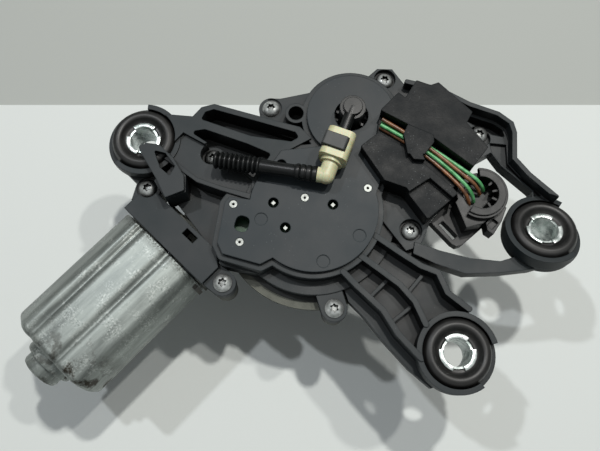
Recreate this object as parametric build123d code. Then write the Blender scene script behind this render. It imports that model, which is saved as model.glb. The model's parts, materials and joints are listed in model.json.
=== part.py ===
from build123d import *
import math
import os

# Rear window wiper motor: a permanent-magnet motor drives a worm and a worm wheel.
# A crank pin on the wheel pushes a rod with a toothed sector, and the sector turns
# a pinion on the hollow wiper spindle. A moulded frame with three rubber-mounted
# eyes carries the gearbox, the plug module and the washer connection.
# Lengths are in millimetres. The spindle axis is Z and the wiper arm is at -Z.

# Heights along the spindle axis
gearbox_floor = 22.0
gearbox_wall = 3.3
drive_level = 30.0
gearbox_top = 41.0
gasket_thick = 0.6
frame_floor_thick = 3.0
arm_floor = 44.0
screw_seat = 47.5
band_top = 50.0
arm_top = 56.0
cover_top = 57.0
cover_thick = 2.2
module_top = 66.0

# Places seen from the cover side
spindle_at = (0.0, 0.0)
wheel_at = (-18.1, -46.4)
motor_turn = 46.4
mouth_reach = 59.64
left_eye_at = (-98.7, -11.0)
right_eye_at = (86.7, -54.7)
bottom_eye_at = (43.4, -110.4)
right_eye_lean = 16.0
frame_screw_places = [(-38.6, 7.8), (17.7, 23.1), (-66.0, -18.5), (26.7, -54.7), (-9.1, -90.6)]
band_screw_places = [(-96.4, -33.7), (-59.5, -79.0)]
module_screw_at = (62.5, -6.1)

# Gearbox
bowl_gap = 1.0
bowl_wall = 3.2
rim_width = 3.6
rim_thick = 3.2
chamber_at = (9.0, -12.0)
chamber_inside_r = 27.0
neck_r = 10.5
neck_low = 6.0
tunnel_wall = 2.6

# Worm drive
wheel_module = 1.25
wheel_teeth = 56
wheel_thick = 7.0
worm_pitch_r = 5.1
worm_turns = 7
tooth_height_up = 1.0
tooth_height_down = 1.5
tooth_share = 0.39
tooth_slope = 20.0
mesh_play = 0.05
wheel_pin_r = 3.0

# Crank, rod, sector and pinion
crank_r = 7.5
crank_pin_r = 3.0
fine_module = 1.0
pinion_teeth = 16
sector_radius = 13.0
sector_margin = 22.0
rod_thick = 3.7
rod_eye_r = 5.6
open_gap = 0.3
link_thick = 2.0
link_eye_r = 7.0
sector_pin_r = 2.5

# Wiper spindle
spindle_r = 5.0
clip_groove_r = 4.2
clip_groove_wide = 1.0
spindle_bore_r = 2.4
spindle_top = 50.0
journal_low = -6.0
cone_low = -14.0
cone_small_r = 4.3
thread_r = 4.0
thread_low = -24.0
running_gap = 0.05
bush_wall = 2.0
bearing_start = 12.0
bearing_length = 5.0
thrust_screw_r = 2.4

# Motor
can_width = 50.0
can_depth = 38.0
rear_room = 12.0
brush_room = 8.0
can_wall = 1.6
bearing_cup_r = 10.5
bearing_cup_length = 5.0
bearing_nose_r = 8.0
bearing_nose_length = 5.0
shaft_r = 3.0
core_r = 13.5
core_length = 27.0
core_slots = 10
commutator_r = 6.5
commutator_length = 11.0
commutator_gap = 6.0
brush_width = 5.0
brush_guide_wall = 1.2
spring_room = 4.6
magnet_thick = 3.4
air_gap = 0.5

# Rubber mounts
grommet_r = 15.0
grommet_low = 39.0
grommet_top = 56.0
groove_r = 11.2
eye_plate_thick = 4.0
eye_plate_low = 44.5
eye_wall = 2.4
sleeve_r = 7.0
sleeve_wall = 1.0
sleeve_flare = 1.2
fit_gap = 0.03

# Screws
screw_head_r = 4.25
screw_head_high = 2.6
screw_shank_r = 2.3
ear_r = 6.0

# Washer connection
nozzle_head_r = 6.0
nozzle_hole_r = 8.0
nozzle_high = 64.2
hose_r = 3.8
hose_wall = 0.9

# Wires
wire_r = 0.85

tiny = 0.02


def solid_of(points, low, high, corner=0.0):
    """A straight-sided block from its outline in plan, with rounded corners."""
    if corner > 0:
        outline = FilletPolyline(*points, radius=corner, close=True)
    else:
        outline = Polyline(*points, close=True)
    return Pos(0, 0, low) * extrude(make_face(outline), high - low)


upright = (Align.CENTER, Align.CENTER, Align.MIN)


def disc(at, radius, low, high):
    """An upright cylinder between two heights."""
    return Pos(at[0], at[1], low) * Cylinder(radius, high - low, align=upright)


def ring(at, outer, inner, low, high):
    return disc(at, outer, low, high) - disc(at, inner, low - 1, high + 1)


def wall(points, width, low, high, corner=0.0):
    """A rib of even width that follows a line in plan, with round ends."""
    if corner > 0:
        line = FilletPolyline(*points, radius=corner)
    else:
        line = Polyline(*points)
    body = extrude(trace(line, line_width=width), high - low)
    body = Pos(0, 0, low) * body
    for end in (points[0], points[-1]):
        body += disc(end, width / 2, low, high)
    return body


def polar(at, radius, turn):
    angle = math.radians(turn)
    return (at[0] + radius * math.cos(angle), at[1] + radius * math.sin(angle))


def turn_to(start, end):
    return math.degrees(math.atan2(end[1] - start[1], end[0] - start[0]))


# The motor's own plane: its Z runs along the shaft towards the gearbox, its Y is up.
forward_way = (math.cos(math.radians(motor_turn)), math.sin(math.radians(motor_turn)), 0)
side_way = (-forward_way[1], forward_way[0], 0)

# The motor stands where its worm meets the wheel
worm_pitch = math.pi * wheel_module
wheel_pitch_r = wheel_module * wheel_teeth / 2
worm_aside = wheel_pitch_r + worm_pitch_r + mesh_play
mouth_at = (wheel_at[0] - forward_way[0] * mouth_reach + side_way[0] * worm_aside,
            wheel_at[1] - forward_way[1] * mouth_reach + side_way[1] * worm_aside)
motor_plane = Plane(origin=(mouth_at[0], mouth_at[1], drive_level), x_dir=side_way, z_dir=forward_way)


def along_motor(forward, side):
    """A plan point given along and across the motor axis, from the can's mouth."""
    ahead = polar(mouth_at, forward, motor_turn)
    return polar(ahead, side, motor_turn + 90)


def on_shaft(radius, start, end):
    """A cylinder on the motor axis."""
    return motor_plane * (Pos(0, 0, start) * Cylinder(radius, end - start, align=upright))


def on_shaft_ring(outer, inner, start, end):
    return on_shaft(outer, start, end) - on_shaft(inner, start - 1, end + 1)


worm_length = worm_pitch * worm_turns
worm_start = mouth_reach - worm_length / 2
worm_end = mouth_reach + worm_length / 2
tunnel_inside_r = worm_pitch_r + tooth_height_up + 0.6
tunnel_end = worm_end + 5.5

bowl_inside_r = wheel_pitch_r + tooth_height_up + bowl_gap
can_length = rear_room + core_length + commutator_gap + commutator_length + brush_room

frame_floor = gearbox_top + gasket_thick
cavity_floor = frame_floor + frame_floor_thick
cover_low = cover_top - cover_thick
wheel_low = drive_level - wheel_thick / 2
wheel_high = drive_level + wheel_thick / 2
rod_low = wheel_high + 0.8
rod_high = rod_low + rod_thick
link_low = rod_high + 0.3
link_high = link_low + link_thick

# Where the rod's sector pivot stands at park, from the crank at full stretch
pinion_pitch_r = fine_module * pinion_teeth / 2
link_length = pinion_pitch_r + sector_radius
centre_distance = math.dist(spindle_at, wheel_at)
rod_length = math.sqrt(centre_distance ** 2 - link_length ** 2)
stretch = rod_length + crank_r
park_cosine = (centre_distance ** 2 + link_length ** 2 - stretch ** 2) / (2 * centre_distance * link_length)
link_park_turn = turn_to(spindle_at, wheel_at) + math.degrees(math.acos(park_cosine))
sector_pivot = polar(spindle_at, link_length, link_park_turn)
crank_turn = turn_to(wheel_at, sector_pivot)
crank_at = polar(wheel_at, crank_r, crank_turn)


cover_gear_r = 29.4
cover_boss_r = 21.0
cover_ledge = 1.2
extension_points = [(-40.0, -38.5), (-46.7, -42.3), (-56.7, -40.8), (-58.6, -43.5),
                    (-61.3, -62.4), (-58.9, -67.5), (-42.1, -72.3), (-30.0, -66.0)]
waist_points = [(-14.0, -16.0), (-33.0, -18.0), (-46.5, -38.0), (-20.0, -60.0), (8.0, -46.0),
                (12.0, -35.0), (19.0, -9.0), (0.0, 0.0)]


def cover_block(low, high, grow=0.0):
    """The cover's outline as a block: gear circle, spindle boss, waist and extension."""
    block = disc(wheel_at, cover_gear_r + grow, low, high)
    block += disc(spindle_at, cover_boss_r + grow, low, high)
    for points in (extension_points, waist_points):
        face = make_face(Polyline(*points, close=True))
        if grow != 0:
            face = offset(face, amount=grow)
        block += Pos(0, 0, low) * extrude(face, high - low)
    return block


# Frame

lug_outer_r = grommet_r + 0.4 + eye_wall


def eye_shell(open_turn, open_half):
    """Eye for a rubber mount: a floor plate with a slot and a cup wall open outwards."""
    cup_low = eye_plate_low + eye_plate_thick
    plate = disc((0, 0), lug_outer_r - 0.6, eye_plate_low, cup_low)
    cup = ring((0, 0), lug_outer_r, grommet_r + 0.4, cup_low - 0.5, arm_top - 1.5)
    reach = lug_outer_r + 6
    wedge = [(0, 0), polar((0, 0), reach, open_turn - open_half), polar((0, 0), reach * 1.5, open_turn),
             polar((0, 0), reach, open_turn + open_half)]
    cup -= solid_of(wedge, cup_low + 0.0, arm_top + 5)
    shell = plate + cup
    shell -= disc((0, 0), groove_r + fit_gap, eye_plate_low - 5, arm_top + 5)
    return shell


def left_arm():
    """Left arm: a box of ribs with two long pockets and a lower plate."""
    outline = [(-88.5, 1.0), (-75.5, -0.2), (-71.5, 4.6), (-65.4, 6.3), (-42.5, -0.5), (-24.4, -5.7),
               (-19.0, -11.5), (-34.0, -20.0), (-46.5, -37.0), (-47.3, -41.7), (-60.3, -37.6),
               (-72.0, -33.4), (-84.0, -24.6), (-93.0, -17.5)]
    arm = solid_of(outline, frame_floor, arm_top)
    pocket_one = [(-71.6, -1.8), (-69.6, 2.2), (-65.6, 3.6), (-43.0, -3.2), (-26.5, -8.3),
                  (-24.9, -11.0), (-28.5, -13.2), (-47.5, -10.4), (-69.0, -2.6)]
    pocket_two = [(-76.6, -8.0), (-69.4, -6.8), (-48.6, -14.4), (-37.8, -19.4), (-45.6, -31.5),
                  (-65.5, -15.4)]
    arm -= solid_of(pocket_one, arm_floor, arm_top + 1, 1.2)
    arm -= solid_of(pocket_two, arm_floor, arm_top + 1, 1.2)
    lower_plate = [(-79.5, -8.5), (-66.5, -15.9), (-46.2, -32.6), (-47.4, -38.9), (-60.5, -35.4),
                   (-72.2, -31.1), (-84.5, -21.0), (-86.5, -16.5)]
    arm -= solid_of(lower_plate, arm_top - 2.2, arm_top + 1)
    return arm


def hook():
    """Stop hook: two webs from the motor band that meet over the left rubber mount."""
    tip = (-97.2, -17.6)
    over = [(-96.0, -15.2), (-89.5, -16.2), (-83.0, -22.5), (-77.5, -31.5), (-77.0, -38.5),
            (-85.5, -42.0), (-90.0, -33.0), (-98.8, -18.6)]
    web = solid_of(over, grommet_top + 0.5, grommet_top + 3.3, 0.8)
    root = [(-84.5, -23.8), (-77.0, -30.5), (-76.6, -38.6), (-85.6, -42.2), (-91.5, -33.0)]
    web += solid_of(root, arm_floor, grommet_top + 1.0, 0.8)
    notch = [(-92.0, -18.9), (-86.5, -20.4), (-81.8, -26.8), (-84.0, -31.5), (-88.6, -27.5)]
    web -= solid_of(notch, grommet_top - 4.0, grommet_top + 5, 0.6)
    web += disc(tip, 1.7, grommet_top + 0.5, grommet_top + 3.3)
    return web


def left_lug_root():
    """Plate between the left eye and the motor band."""
    points = [(-114.0, -17.5), (-110.4, -22.6), (-101.6, -31.2), (-103.6, -39.6), (-88.0, -33.0),
              (-84.0, -22.0), (-84.0, -3.0), (-89.0, 2.0), (-98.0, 0.0)]
    return solid_of(points, frame_floor, eye_plate_low + eye_plate_thick)


def motor_band():
    """Band over the motor's mouth, with a screw ear at each end."""
    near = 0.6
    far = 16.0
    points = [along_motor(near, 25.4), along_motor(far, 25.6), along_motor(far, -20.0),
              along_motor(far - 5.0, -26.5), along_motor(near, -26.5)]
    band = solid_of(points, frame_floor, band_top)
    for place in band_screw_places:
        band += disc(place, ear_r, frame_floor, screw_seat)
    trough = [(-91.0, -30.0), (-84.5, -24.5), (-60.5, -37.5), (-57.5, -42.0), (-61.0, -64.0),
              (-56.0, -70.5), (-66.0, -62.0), (-79.0, -45.0)]
    band += solid_of(trough, frame_floor, arm_floor + 1.0)
    slot_at = along_motor(far - 3.6, -6.5)
    slot = Pos(slot_at[0], slot_at[1], arm_floor) * Rot(0, 0, motor_turn) * Box(3.4, 7.0, 20)
    band -= slot
    return band


def body_block():
    """Round body about the gear circle and the spindle boss, under the cover."""
    block = cover_block(frame_floor, cover_low, curb)
    step = disc(wheel_at, bowl_inside_r + 1.2, frame_floor, arm_floor + 4.0)
    block += step
    skirt = [(-61.5, -44.0), (-63.8, -64.0), (-60.0, -71.5), (-44.0, -75.0), (-30.0, -60.0), (-30.0, -45.0)]
    block += solid_of(skirt, frame_floor, arm_floor + 6.0, 1.5)
    return block


def right_plate():
    """Carrier plate for the plug module, with the outer rib that runs to the right eye."""
    points = [(-5.0, 20.0), (6.5, 21.6), (14.0, 28.6), (21.5, 28.4), (27.5, 19.5), (44.0, 19.0),
              (58.2, 14.6), (72.2, 10.6), (79.0, 3.8), (80.1, -3.8), (78.6, -21.7), (83.0, -29.0),
              (95.0, -41.0), (84.0, -40.0), (84.4, -35.8), (72.4, -23.6), (67.5, -15.6), (60.8, -19.8),
              (51.5, -32.2), (35.8, -50.6), (30.6, -62.4), (24.0, -64.5), (10.0, -45.0), (10.0, 0.0)]
    plate = solid_of(points, frame_floor + 1.0, band_top)
    rib = [(27.5, 18.4), (44.0, 17.9), (57.8, 13.5), (71.4, 9.7), (77.9, 3.3), (79.0, -3.8),
           (77.5, -22.0), (82.2, -29.8), (93.0, -40.5)]
    plate += wall(rib, 2.3, frame_floor + 1.0, arm_top)
    pocket = [(49.5, 12.8), (58.0, 10.2), (70.5, 6.6), (75.3, 2.0), (76.0, -3.4), (68.0, -3.4), (60.5, -1.2)]
    plate -= solid_of(pocket, arm_floor, arm_top + 1, 1.0)
    lower = [(67.0, -9.0), (76.4, -9.0), (76.0, -22.6), (80.0, -29.0), (90.0, -39.6), (85.0, -38.8),
             (85.4, -35.6), (73.0, -23.0), (68.0, -14.8)]
    plate -= solid_of(lower, band_top - 2.0, arm_top + 1)
    return plate


def strap():
    """Slim blade from the body to the right eye, below the plug."""
    points = [(28.0, -60.5), (39.4, -64.7), (52.8, -68.2), (66.3, -69.6), (73.0, -67.6), (80.0, -66.0),
              (95.0, -70.0), (86.5, -72.6), (65.9, -75.0), (50.1, -75.4), (37.0, -70.8), (27.0, -66.0)]
    blade = solid_of(points, frame_floor + 1.0, band_top + 1.0)
    return blade


def bottom_arm():
    """Bottom arm: three deep ribs on a floor, running out to the bottom eye."""
    outline = [(-6.0, -76.0), (-2.6, -87.2), (4.1, -94.2), (12.5, -105.2), (23.0, -117.0), (32.5, -125.2),
               (43.0, -121.0), (60.6, -106.4), (56.7, -96.4), (46.6, -88.6), (41.6, -84.4), (38.3, -75.6),
               (30.0, -63.0), (6.0, -56.0)]
    arm = solid_of(outline, frame_floor, arm_floor + 2.5)
    rib_left = [(-5.2, -75.2), (0.6, -81.4), (12.0, -92.4), (18.0, -102.5), (27.5, -113.0)]
    rib_middle = [(0.4, -66.2), (11.2, -74.3), (19.8, -81.0), (26.0, -88.4), (30.2, -98.5)]
    rib_right = [(9.5, -58.6), (20.5, -66.5), (29.6, -72.6), (37.0, -75.6), (40.6, -84.6), (49.5, -91.8)]
    for line in (rib_left, rib_middle, rib_right):
        arm += wall(line, 2.6, frame_floor, arm_top - 1.0)
    for start, end in (((6.0, -86.6), (14.6, -78.4)), ((24.0, -83.8), (30.2, -76.6)),
                       ((14.8, -98.0), (24.4, -90.6))):
        arm += wall([start, end], 1.6, frame_floor, arm_floor + 6.5)
    return arm


def screw_ear(at, seat):
    return disc(at, ear_r, frame_floor, seat)


def housing_frame():
    """The whole moulded frame, one piece."""
    frame = body_block()
    frame += left_arm()
    frame += left_lug_root()
    frame += motor_band()
    frame += right_plate()
    frame += strap()
    frame += bottom_arm()
    ear_web = [(-44.0, 3.0), (-40.0, 13.2), (-34.0, 13.0), (-14.0, 17.5), (-10.0, 10.0), (-18.0, -12.0),
               (-40.0, -4.0)]
    frame += solid_of(ear_web, frame_floor, screw_seat + 1.0)
    vent_at = (-26.3, 2.1)
    frame += disc(vent_at, 5.2, frame_floor, cover_low)
    for place in frame_screw_places:
        frame += screw_ear(place, screw_seat)
    frame += wall([frame_screw_places[-1], (-13.0, -78.0)], 2 * ear_r, frame_floor, screw_seat)
    frame += wall([band_screw_places[1], along_motor(6.0, -16.0)], 2 * ear_r, frame_floor, screw_seat)
    frame += disc(module_screw_at, ear_r, frame_floor + 1.0, screw_seat)
    frame -= cover_block(cavity_floor, cover_low + 1, -cover_ledge)
    frame -= cover_block(cover_low, cover_top + 2, 0.25)
    frame += ring(spindle_at, spindle_r + 4.0, spindle_r + running_gap, frame_floor, cavity_floor + 3.0)
    frame -= disc(spindle_at, spindle_r + running_gap, frame_floor - 1, cavity_floor + 4)
    frame -= disc(vent_at, 3.6, arm_floor + 1.0, arm_top + 5)
    for place in frame_screw_places + band_screw_places + [module_screw_at]:
        frame -= disc(place, screw_head_r + 1.0, screw_seat, arm_top + 6)
        frame -= disc(place, screw_shank_r + 0.1, frame_floor - 1, arm_top)
    for at in (left_eye_at, bottom_eye_at):
        frame -= disc(at, grommet_r + 0.4, eye_plate_low + eye_plate_thick, arm_top + 5)
        frame -= disc(at, grommet_r + 0.4, frame_floor - 1, eye_plate_low)
        frame -= disc(at, groove_r + fit_gap, frame_floor - 1, arm_top + 5)
    frame -= right_eye_plane() * disc((0, 0), grommet_r + 0.4, eye_plate_low + eye_plate_thick, arm_top + 9)
    frame -= right_eye_plane() * disc((0, 0), grommet_r + 0.4, frame_floor - 9, eye_plate_low)
    frame -= right_eye_plane() * disc((0, 0), groove_r + fit_gap, frame_floor - 9, arm_top + 9)
    frame += Pos(left_eye_at[0], left_eye_at[1]) * eye_shell(155.0, 69.0)
    frame += Pos(bottom_eye_at[0], bottom_eye_at[1]) * eye_shell(-21.0, 34.0)
    frame += right_eye_plane() * eye_shell(0.0, 52.0)
    frame += hook()
    return frame


def right_eye_plane():
    """Frame of the right eye, which leans about X; heights stay those of the other eyes."""
    pivot = Pos(right_eye_at[0], right_eye_at[1], grommet_top)
    return pivot * Rot(-right_eye_lean, 0, 0) * Pos(0, 0, -grommet_top)


def eye_place(at):
    return Pos(at[0], at[1], 0)


def grommet():
    """Rubber mount: two rolled flanges with a groove for the eye between them."""
    bore = sleeve_r + fit_gap
    plate_high = eye_plate_low + eye_plate_thick
    outline = [(bore, grommet_low), (grommet_r - 2.5, grommet_low), (grommet_r, grommet_low + 2.0),
               (grommet_r, eye_plate_low - 0.1), (groove_r, eye_plate_low - 0.1), (groove_r, plate_high + 0.1),
               (grommet_r, plate_high + 0.1), (grommet_r, grommet_top - 3.0), (grommet_r - 3.0, grommet_top),
               (grommet_r - 4.6, grommet_top - 0.4), (bore + 1.9, grommet_top - 2.6), (bore, grommet_top - 2.6)]
    face = make_face(Polyline(*[(r, 0, z) for r, z in outline], close=True))
    return revolve(face, Axis.Z, 360)


def sleeve():
    """Zinc-plated spacer tube pressed into a rubber mount, flared and notched at its rim."""
    top = grommet_top - 1.6
    tube = ring((0, 0), sleeve_r, sleeve_r - sleeve_wall, grommet_low - 1.0, top)
    tube += ring((0, 0), sleeve_r + sleeve_flare, sleeve_r - sleeve_wall, top - 0.9, top)
    for turn in (30, 150, 270):
        spot = polar((0, 0), sleeve_r + 0.4, turn)
        tube -= Pos(spot[0], spot[1], top) * Rot(0, 0, turn) * Box(4.4, 2.0, 3.0)
    return tube


# Gearbox casting and what seals and fastens it

def gear_housing():
    """Die-cast gearbox: wheel bowl, sector chamber, worm tunnel, motor flange and spindle neck."""
    outside = disc(wheel_at, bowl_inside_r + bowl_wall, gearbox_floor, gearbox_top)
    outside += disc(wheel_at, bowl_inside_r + bowl_wall + rim_width, gearbox_top - rim_thick, gearbox_top)
    chamber_floor = wheel_high - 0.2
    outside += disc(chamber_at, chamber_inside_r + bowl_wall, chamber_floor - 3.0, gearbox_top)
    outside += on_shaft(tunnel_inside_r + tunnel_wall, 10.0, tunnel_end)
    flange = [along_motor(0.3, 22.5), along_motor(5.0, 22.5), along_motor(18.0, 13.0), along_motor(18.0, -13.0),
              along_motor(5.0, -22.5), along_motor(0.3, -22.5)]
    outside += solid_of(flange, drive_level - 14.0, gearbox_top)
    outside += disc(spindle_at, neck_r + 4.0, gearbox_floor - 6.0, chamber_floor)
    outside += disc(spindle_at, neck_r, neck_low, chamber_floor)
    for place in frame_screw_places + band_screw_places:
        outside += disc(place, ear_r - 0.6, gearbox_top - 11.0, gearbox_top)
    webs = [[frame_screw_places[0], (-20.0, -5.0)], [frame_screw_places[1], (10.0, 5.0)],
            [frame_screw_places[2], (-50.0, -28.0)], [frame_screw_places[3], (12.0, -40.0)],
            [frame_screw_places[4], (-12.0, -80.0)], [band_screw_places[0], along_motor(4.0, 20.0)],
            [band_screw_places[1], along_motor(4.0, -20.0)]]
    for web in webs:
        outside += wall(web, 5.0, gearbox_top - 10.0, gearbox_top)
    for count in range(8):
        spot = polar(wheel_at, bowl_inside_r - 2.0, 20 + count * 45)
        outside += wall([wheel_at, spot], 2.2, gearbox_floor - 1.6, gearbox_floor + 1)
    outside += disc(wheel_at, wheel_pin_r + 5.0, gearbox_floor - 3.0, gearbox_floor + 1)
    inside = disc(wheel_at, bowl_inside_r, gearbox_floor + bowl_wall, gearbox_top + 1)
    inside += disc(chamber_at, chamber_inside_r, chamber_floor, gearbox_top + 1)
    inside += on_shaft(tunnel_inside_r, 18.0, tunnel_end - 5.0)
    inside += on_shaft(core_r - 1.0, -1.0, 12.0)
    inside += on_shaft(shaft_r + running_gap, 11.0, tunnel_end - 2.2)
    outside -= inside
    outside += disc(wheel_at, wheel_pin_r + 4.5, gearbox_floor + 1.0, wheel_low - 0.4)
    outside -= disc(wheel_at, wheel_pin_r + tiny, gearbox_floor - 1.0, gearbox_top)
    outside -= on_shaft(shaft_r + bush_wall + tiny, bearing_start, bearing_start + bearing_length)
    outside -= on_shaft(thrust_screw_r, tunnel_end - 2.4, tunnel_end + 1.0)
    outside -= disc(spindle_at, spindle_r + bush_wall + tiny, neck_low - 1, gearbox_top)
    for place in frame_screw_places + band_screw_places:
        outside -= disc(place, screw_shank_r + tiny, gearbox_top - 8.0, gearbox_top + 1)
    return outside


def housing_gasket():
    """Flat gasket between the casting and the frame, round the open top of the gearbox."""
    mat = disc(wheel_at, bowl_inside_r + bowl_wall, gearbox_top, frame_floor)
    mat += disc(chamber_at, chamber_inside_r + bowl_wall, gearbox_top, frame_floor)
    mat -= disc(wheel_at, bowl_inside_r + 0.4, gearbox_top - 1, frame_floor + 1)
    mat -= disc(chamber_at, chamber_inside_r + 0.4, gearbox_top - 1, frame_floor + 1)
    for place in frame_screw_places:
        mat -= disc(place, screw_shank_r + 0.4, gearbox_top - 1, frame_floor + 1)
    return mat


def screw(at, seat, length):
    """Domed screw with a six-lobe drive recess."""
    head_profile = [(0, 0, seat), (screw_head_r, 0, seat), (screw_head_r, 0, seat + 0.7),
                    (screw_head_r * 0.72, 0, seat + screw_head_high * 0.86), (0, 0, seat + screw_head_high)]
    body = revolve(make_face(Polyline(*head_profile, close=True)), Axis.Z, 360)
    body += disc((0, 0), screw_shank_r, seat - length, seat + 0.5)
    recess = disc((0, 0), 1.15, seat + 0.7, seat + 4)
    for turn in range(0, 180, 60):
        recess += Pos(0, 0, seat + 0.7) * Rot(0, 0, turn) * Box(3.2, 0.95, 8, align=(Align.CENTER, Align.CENTER, Align.MIN))
    body -= recess
    return Pos(at[0], at[1], 0) * body


def screw_set(places, seat, length):
    return Compound(children=[screw(place, seat, length) for place in places])


def cover_plate():
    """Smooth cover over the contacts, with the pin, rivet and vent holes."""
    plate = cover_block(cover_low, cover_top)
    plate -= disc(spindle_at, nozzle_hole_r, cover_low - 1, cover_top + 1)
    oval = [(-52.6, -49.2), (-46.6, -51.0), (-48.4, -58.2), (-54.6, -56.4)]
    plate -= solid_of(oval, cover_low - 1, cover_top + 1, 2.6)
    for mark in ejector_places:
        plate -= disc(mark, 2.9, cover_top - 0.35, cover_top + 1)
    for spot in pin_places:
        plate -= disc(spot, 2.4, cover_low - 1, cover_top + 1)
    for spot in rivet_places:
        plate -= disc(spot, 1.9, cover_low - 1, cover_top + 1)
    return plate


ejector_places = [(-42.0, -51.5), (2.3, -59.2), (-14.1, -71.0)]
pin_places = [(-36.5, -43.7), (-31.0, -55.5), (-9.4, -44.6), (-33.0, -25.0)]
rivet_places = [(-54.7, -44.4), (-51.4, -62.2), (-22.2, -41.3), (6.7, -36.7)]
board_low = cavity_floor + 2.4
board_thick = 1.6


def circuit_board():
    """Contact board under the cover, on the cavity's posts."""
    board = cover_block(board_low, board_low + board_thick, -2.0)
    board -= disc(spindle_at, cover_boss_r + 1.0, board_low - 1, board_low + 4)
    for spot in rivet_places:
        board -= disc(spot, 1.2, board_low - 1, board_low + 4)
    return board


def board_posts():
    posts = []
    for spot in [(-54.0, -58.0), (-30.0, -66.0), (-2.0, -66.0), (4.0, -44.0), (-38.0, -30.0), (-50.0, -46.0)]:
        posts.append(disc(spot, 2.0, cavity_floor, board_low))
    return Compound(children=posts)


def contact_pins():
    """Square contact pins that stand in the cover's round holes."""
    pins = []
    for spot in pin_places:
        top = cover_top - 0.6
        low = board_low + board_thick
        pins.append(Pos(spot[0], spot[1], (low + top) / 2) * Rot(0, 0, motor_turn) * Box(1.5, 1.5, top - low))
    return Compound(children=pins)


def board_rivets():
    """Hollow rivets that clamp the board and show in the cover."""
    rivets = []
    for spot in rivet_places:
        body = ring(spot, 1.15, 0.65, board_low, cover_top - 0.7)
        body += ring(spot, 1.75, 0.65, cover_top - 0.7, cover_top - 0.1)
        rivets.append(body)
    return Compound(children=rivets)


def board_parts():
    """Relay, choke and suppression capacitor on the board."""
    low = board_low + board_thick
    relay = Pos(-18, -62, low) * Rot(0, 0, 20) * Box(12, 9, 4.6, align=(Align.CENTER, Align.CENTER, Align.MIN))
    capacitor = Pos(-3, -52, low) * Box(7, 4, 4.4, align=(Align.CENTER, Align.CENTER, Align.MIN))
    choke = disc((-24, -32), 3.4, low, low + 4.2)
    return Compound(children=[relay, capacitor, choke])


# Motor

half_width = can_width / 2
half_depth = can_depth / 2


def can_profile(inset=0.0):
    """Cross-section of the can: flat sides, bevels, a crowned middle and two grooves."""
    w = half_width - inset
    d = half_depth - inset
    upper = [(w, 8.0 - inset * 0.4), (w - 6.0, d - 1.6), (w - 9.2, d - 2.6), (w - 12.6, d - 0.8),
             (4.0, d), (-6.0, d), (-w + 12.6, d - 1.0), (-w + 10.0, d - 2.8), (-w + 6.6, d - 1.6),
             (-w, 8.0 - inset * 0.4)]
    lower = [(-x, -y) for x, y in upper]
    return make_face(Polyline(*(upper + lower), close=True))


def motor_can():
    """Deep-drawn zinc-plated steel can with a stepped bearing nose and a crimped mouth."""
    outer = Pos(0, 0, -can_length) * extrude(can_profile(), can_length)
    inner = Pos(0, 0, -can_length + can_wall) * extrude(can_profile(can_wall), can_length)
    body = outer - inner
    body = motor_plane * body
    cup_end = -can_length - bearing_cup_length
    nose_end = cup_end - bearing_nose_length
    body += on_shaft(bearing_cup_r, cup_end, -can_length + 0.5)
    body += on_shaft(bearing_nose_r, nose_end, cup_end)
    body -= on_shaft(bearing_cup_r - can_wall, cup_end + can_wall, -can_length + can_wall + 1)
    body -= on_shaft(bearing_nose_r - can_wall, nose_end + can_wall, cup_end + can_wall + 1)
    for side, high in ((half_width - 8, 1), (-half_width + 8, 1), (half_width - 8, -1), (-half_width + 8, -1)):
        cut = Pos(side, high * half_depth, -2.0) * Box(4.5, 7.0, 4.2)
        body -= motor_plane * cut
    return body


magnet_length = core_length + 8.0


def field_magnets():
    """Two arc magnets against the can's flat sides."""
    outer = core_r + air_gap + magnet_thick
    middle = -can_length + rear_room + core_length / 2
    shell = on_shaft_ring(outer, core_r + air_gap, middle - magnet_length / 2, middle + magnet_length / 2)
    pieces = []
    for side in (1, -1):
        keep = motor_plane * (Pos(side * outer, 0, middle) * Box(outer * 1.5, outer * 1.5, magnet_length + 2))
        pieces.append(shell & keep)
    return Compound(children=pieces)


nose_inside_end = -can_length - bearing_cup_length - bearing_nose_length + can_wall


def end_bearing():
    """Sintered bush in the can's nose."""
    return on_shaft_ring(bearing_nose_r - can_wall - tiny, shaft_r + running_gap,
                         nose_inside_end + 1.0, nose_inside_end + bearing_nose_length)


def front_bearing():
    """Bush between the brush chamber and the worm tunnel."""
    return on_shaft_ring(shaft_r + bush_wall, shaft_r + running_gap, bearing_start, bearing_start + bearing_length)


def thrust_screw():
    """Adjusting screw that takes the shaft's end thrust."""
    return on_shaft(thrust_screw_r - tiny, tunnel_end - 2.2, tunnel_end + 0.8)


def worm_thread():
    """Single-start worm thread swept along its helix, in the shaft's own frame."""
    height = worm_pitch * (worm_turns - 1)
    start = mouth_reach - height / 2
    path = Helix(pitch=worm_pitch, height=height, radius=worm_pitch_r)
    half = worm_pitch * tooth_share / 2
    slope = math.tan(math.radians(tooth_slope))
    root = worm_pitch_r - tooth_height_down - 0.15
    tip = worm_pitch_r + tooth_height_up
    root_half = half + (worm_pitch_r - root) * slope
    tip_half = half - tooth_height_up * slope
    profile = make_face(Polyline((root, 0, -root_half), (tip, 0, -tip_half), (tip, 0, tip_half),
                                 (root, 0, root_half), close=True))
    thread = sweep(profile, path=path, is_frenet=True)
    return Pos(0, 0, start) * thread


def armature_shaft():
    """Steel shaft with the worm rolled on its free end."""
    end = tunnel_end - 2.4
    shaft = Pos(0, 0, nose_inside_end + 0.3) * Cylinder(shaft_r, end - nose_inside_end - 0.3,
                                                          align=(Align.CENTER, Align.CENTER, Align.MIN))
    core = worm_pitch_r - tooth_height_down
    shaft += Pos(0, 0, worm_start) * Cylinder(core, worm_length, align=(Align.CENTER, Align.CENTER, Align.MIN))
    # turned so that the thread crosses the wheel's side right at the wheel's middle
    shaft += Rot(0, 0, thread_turn) * worm_thread()
    return motor_plane * shaft


thread_turn = 180.0 * worm_turns


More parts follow.
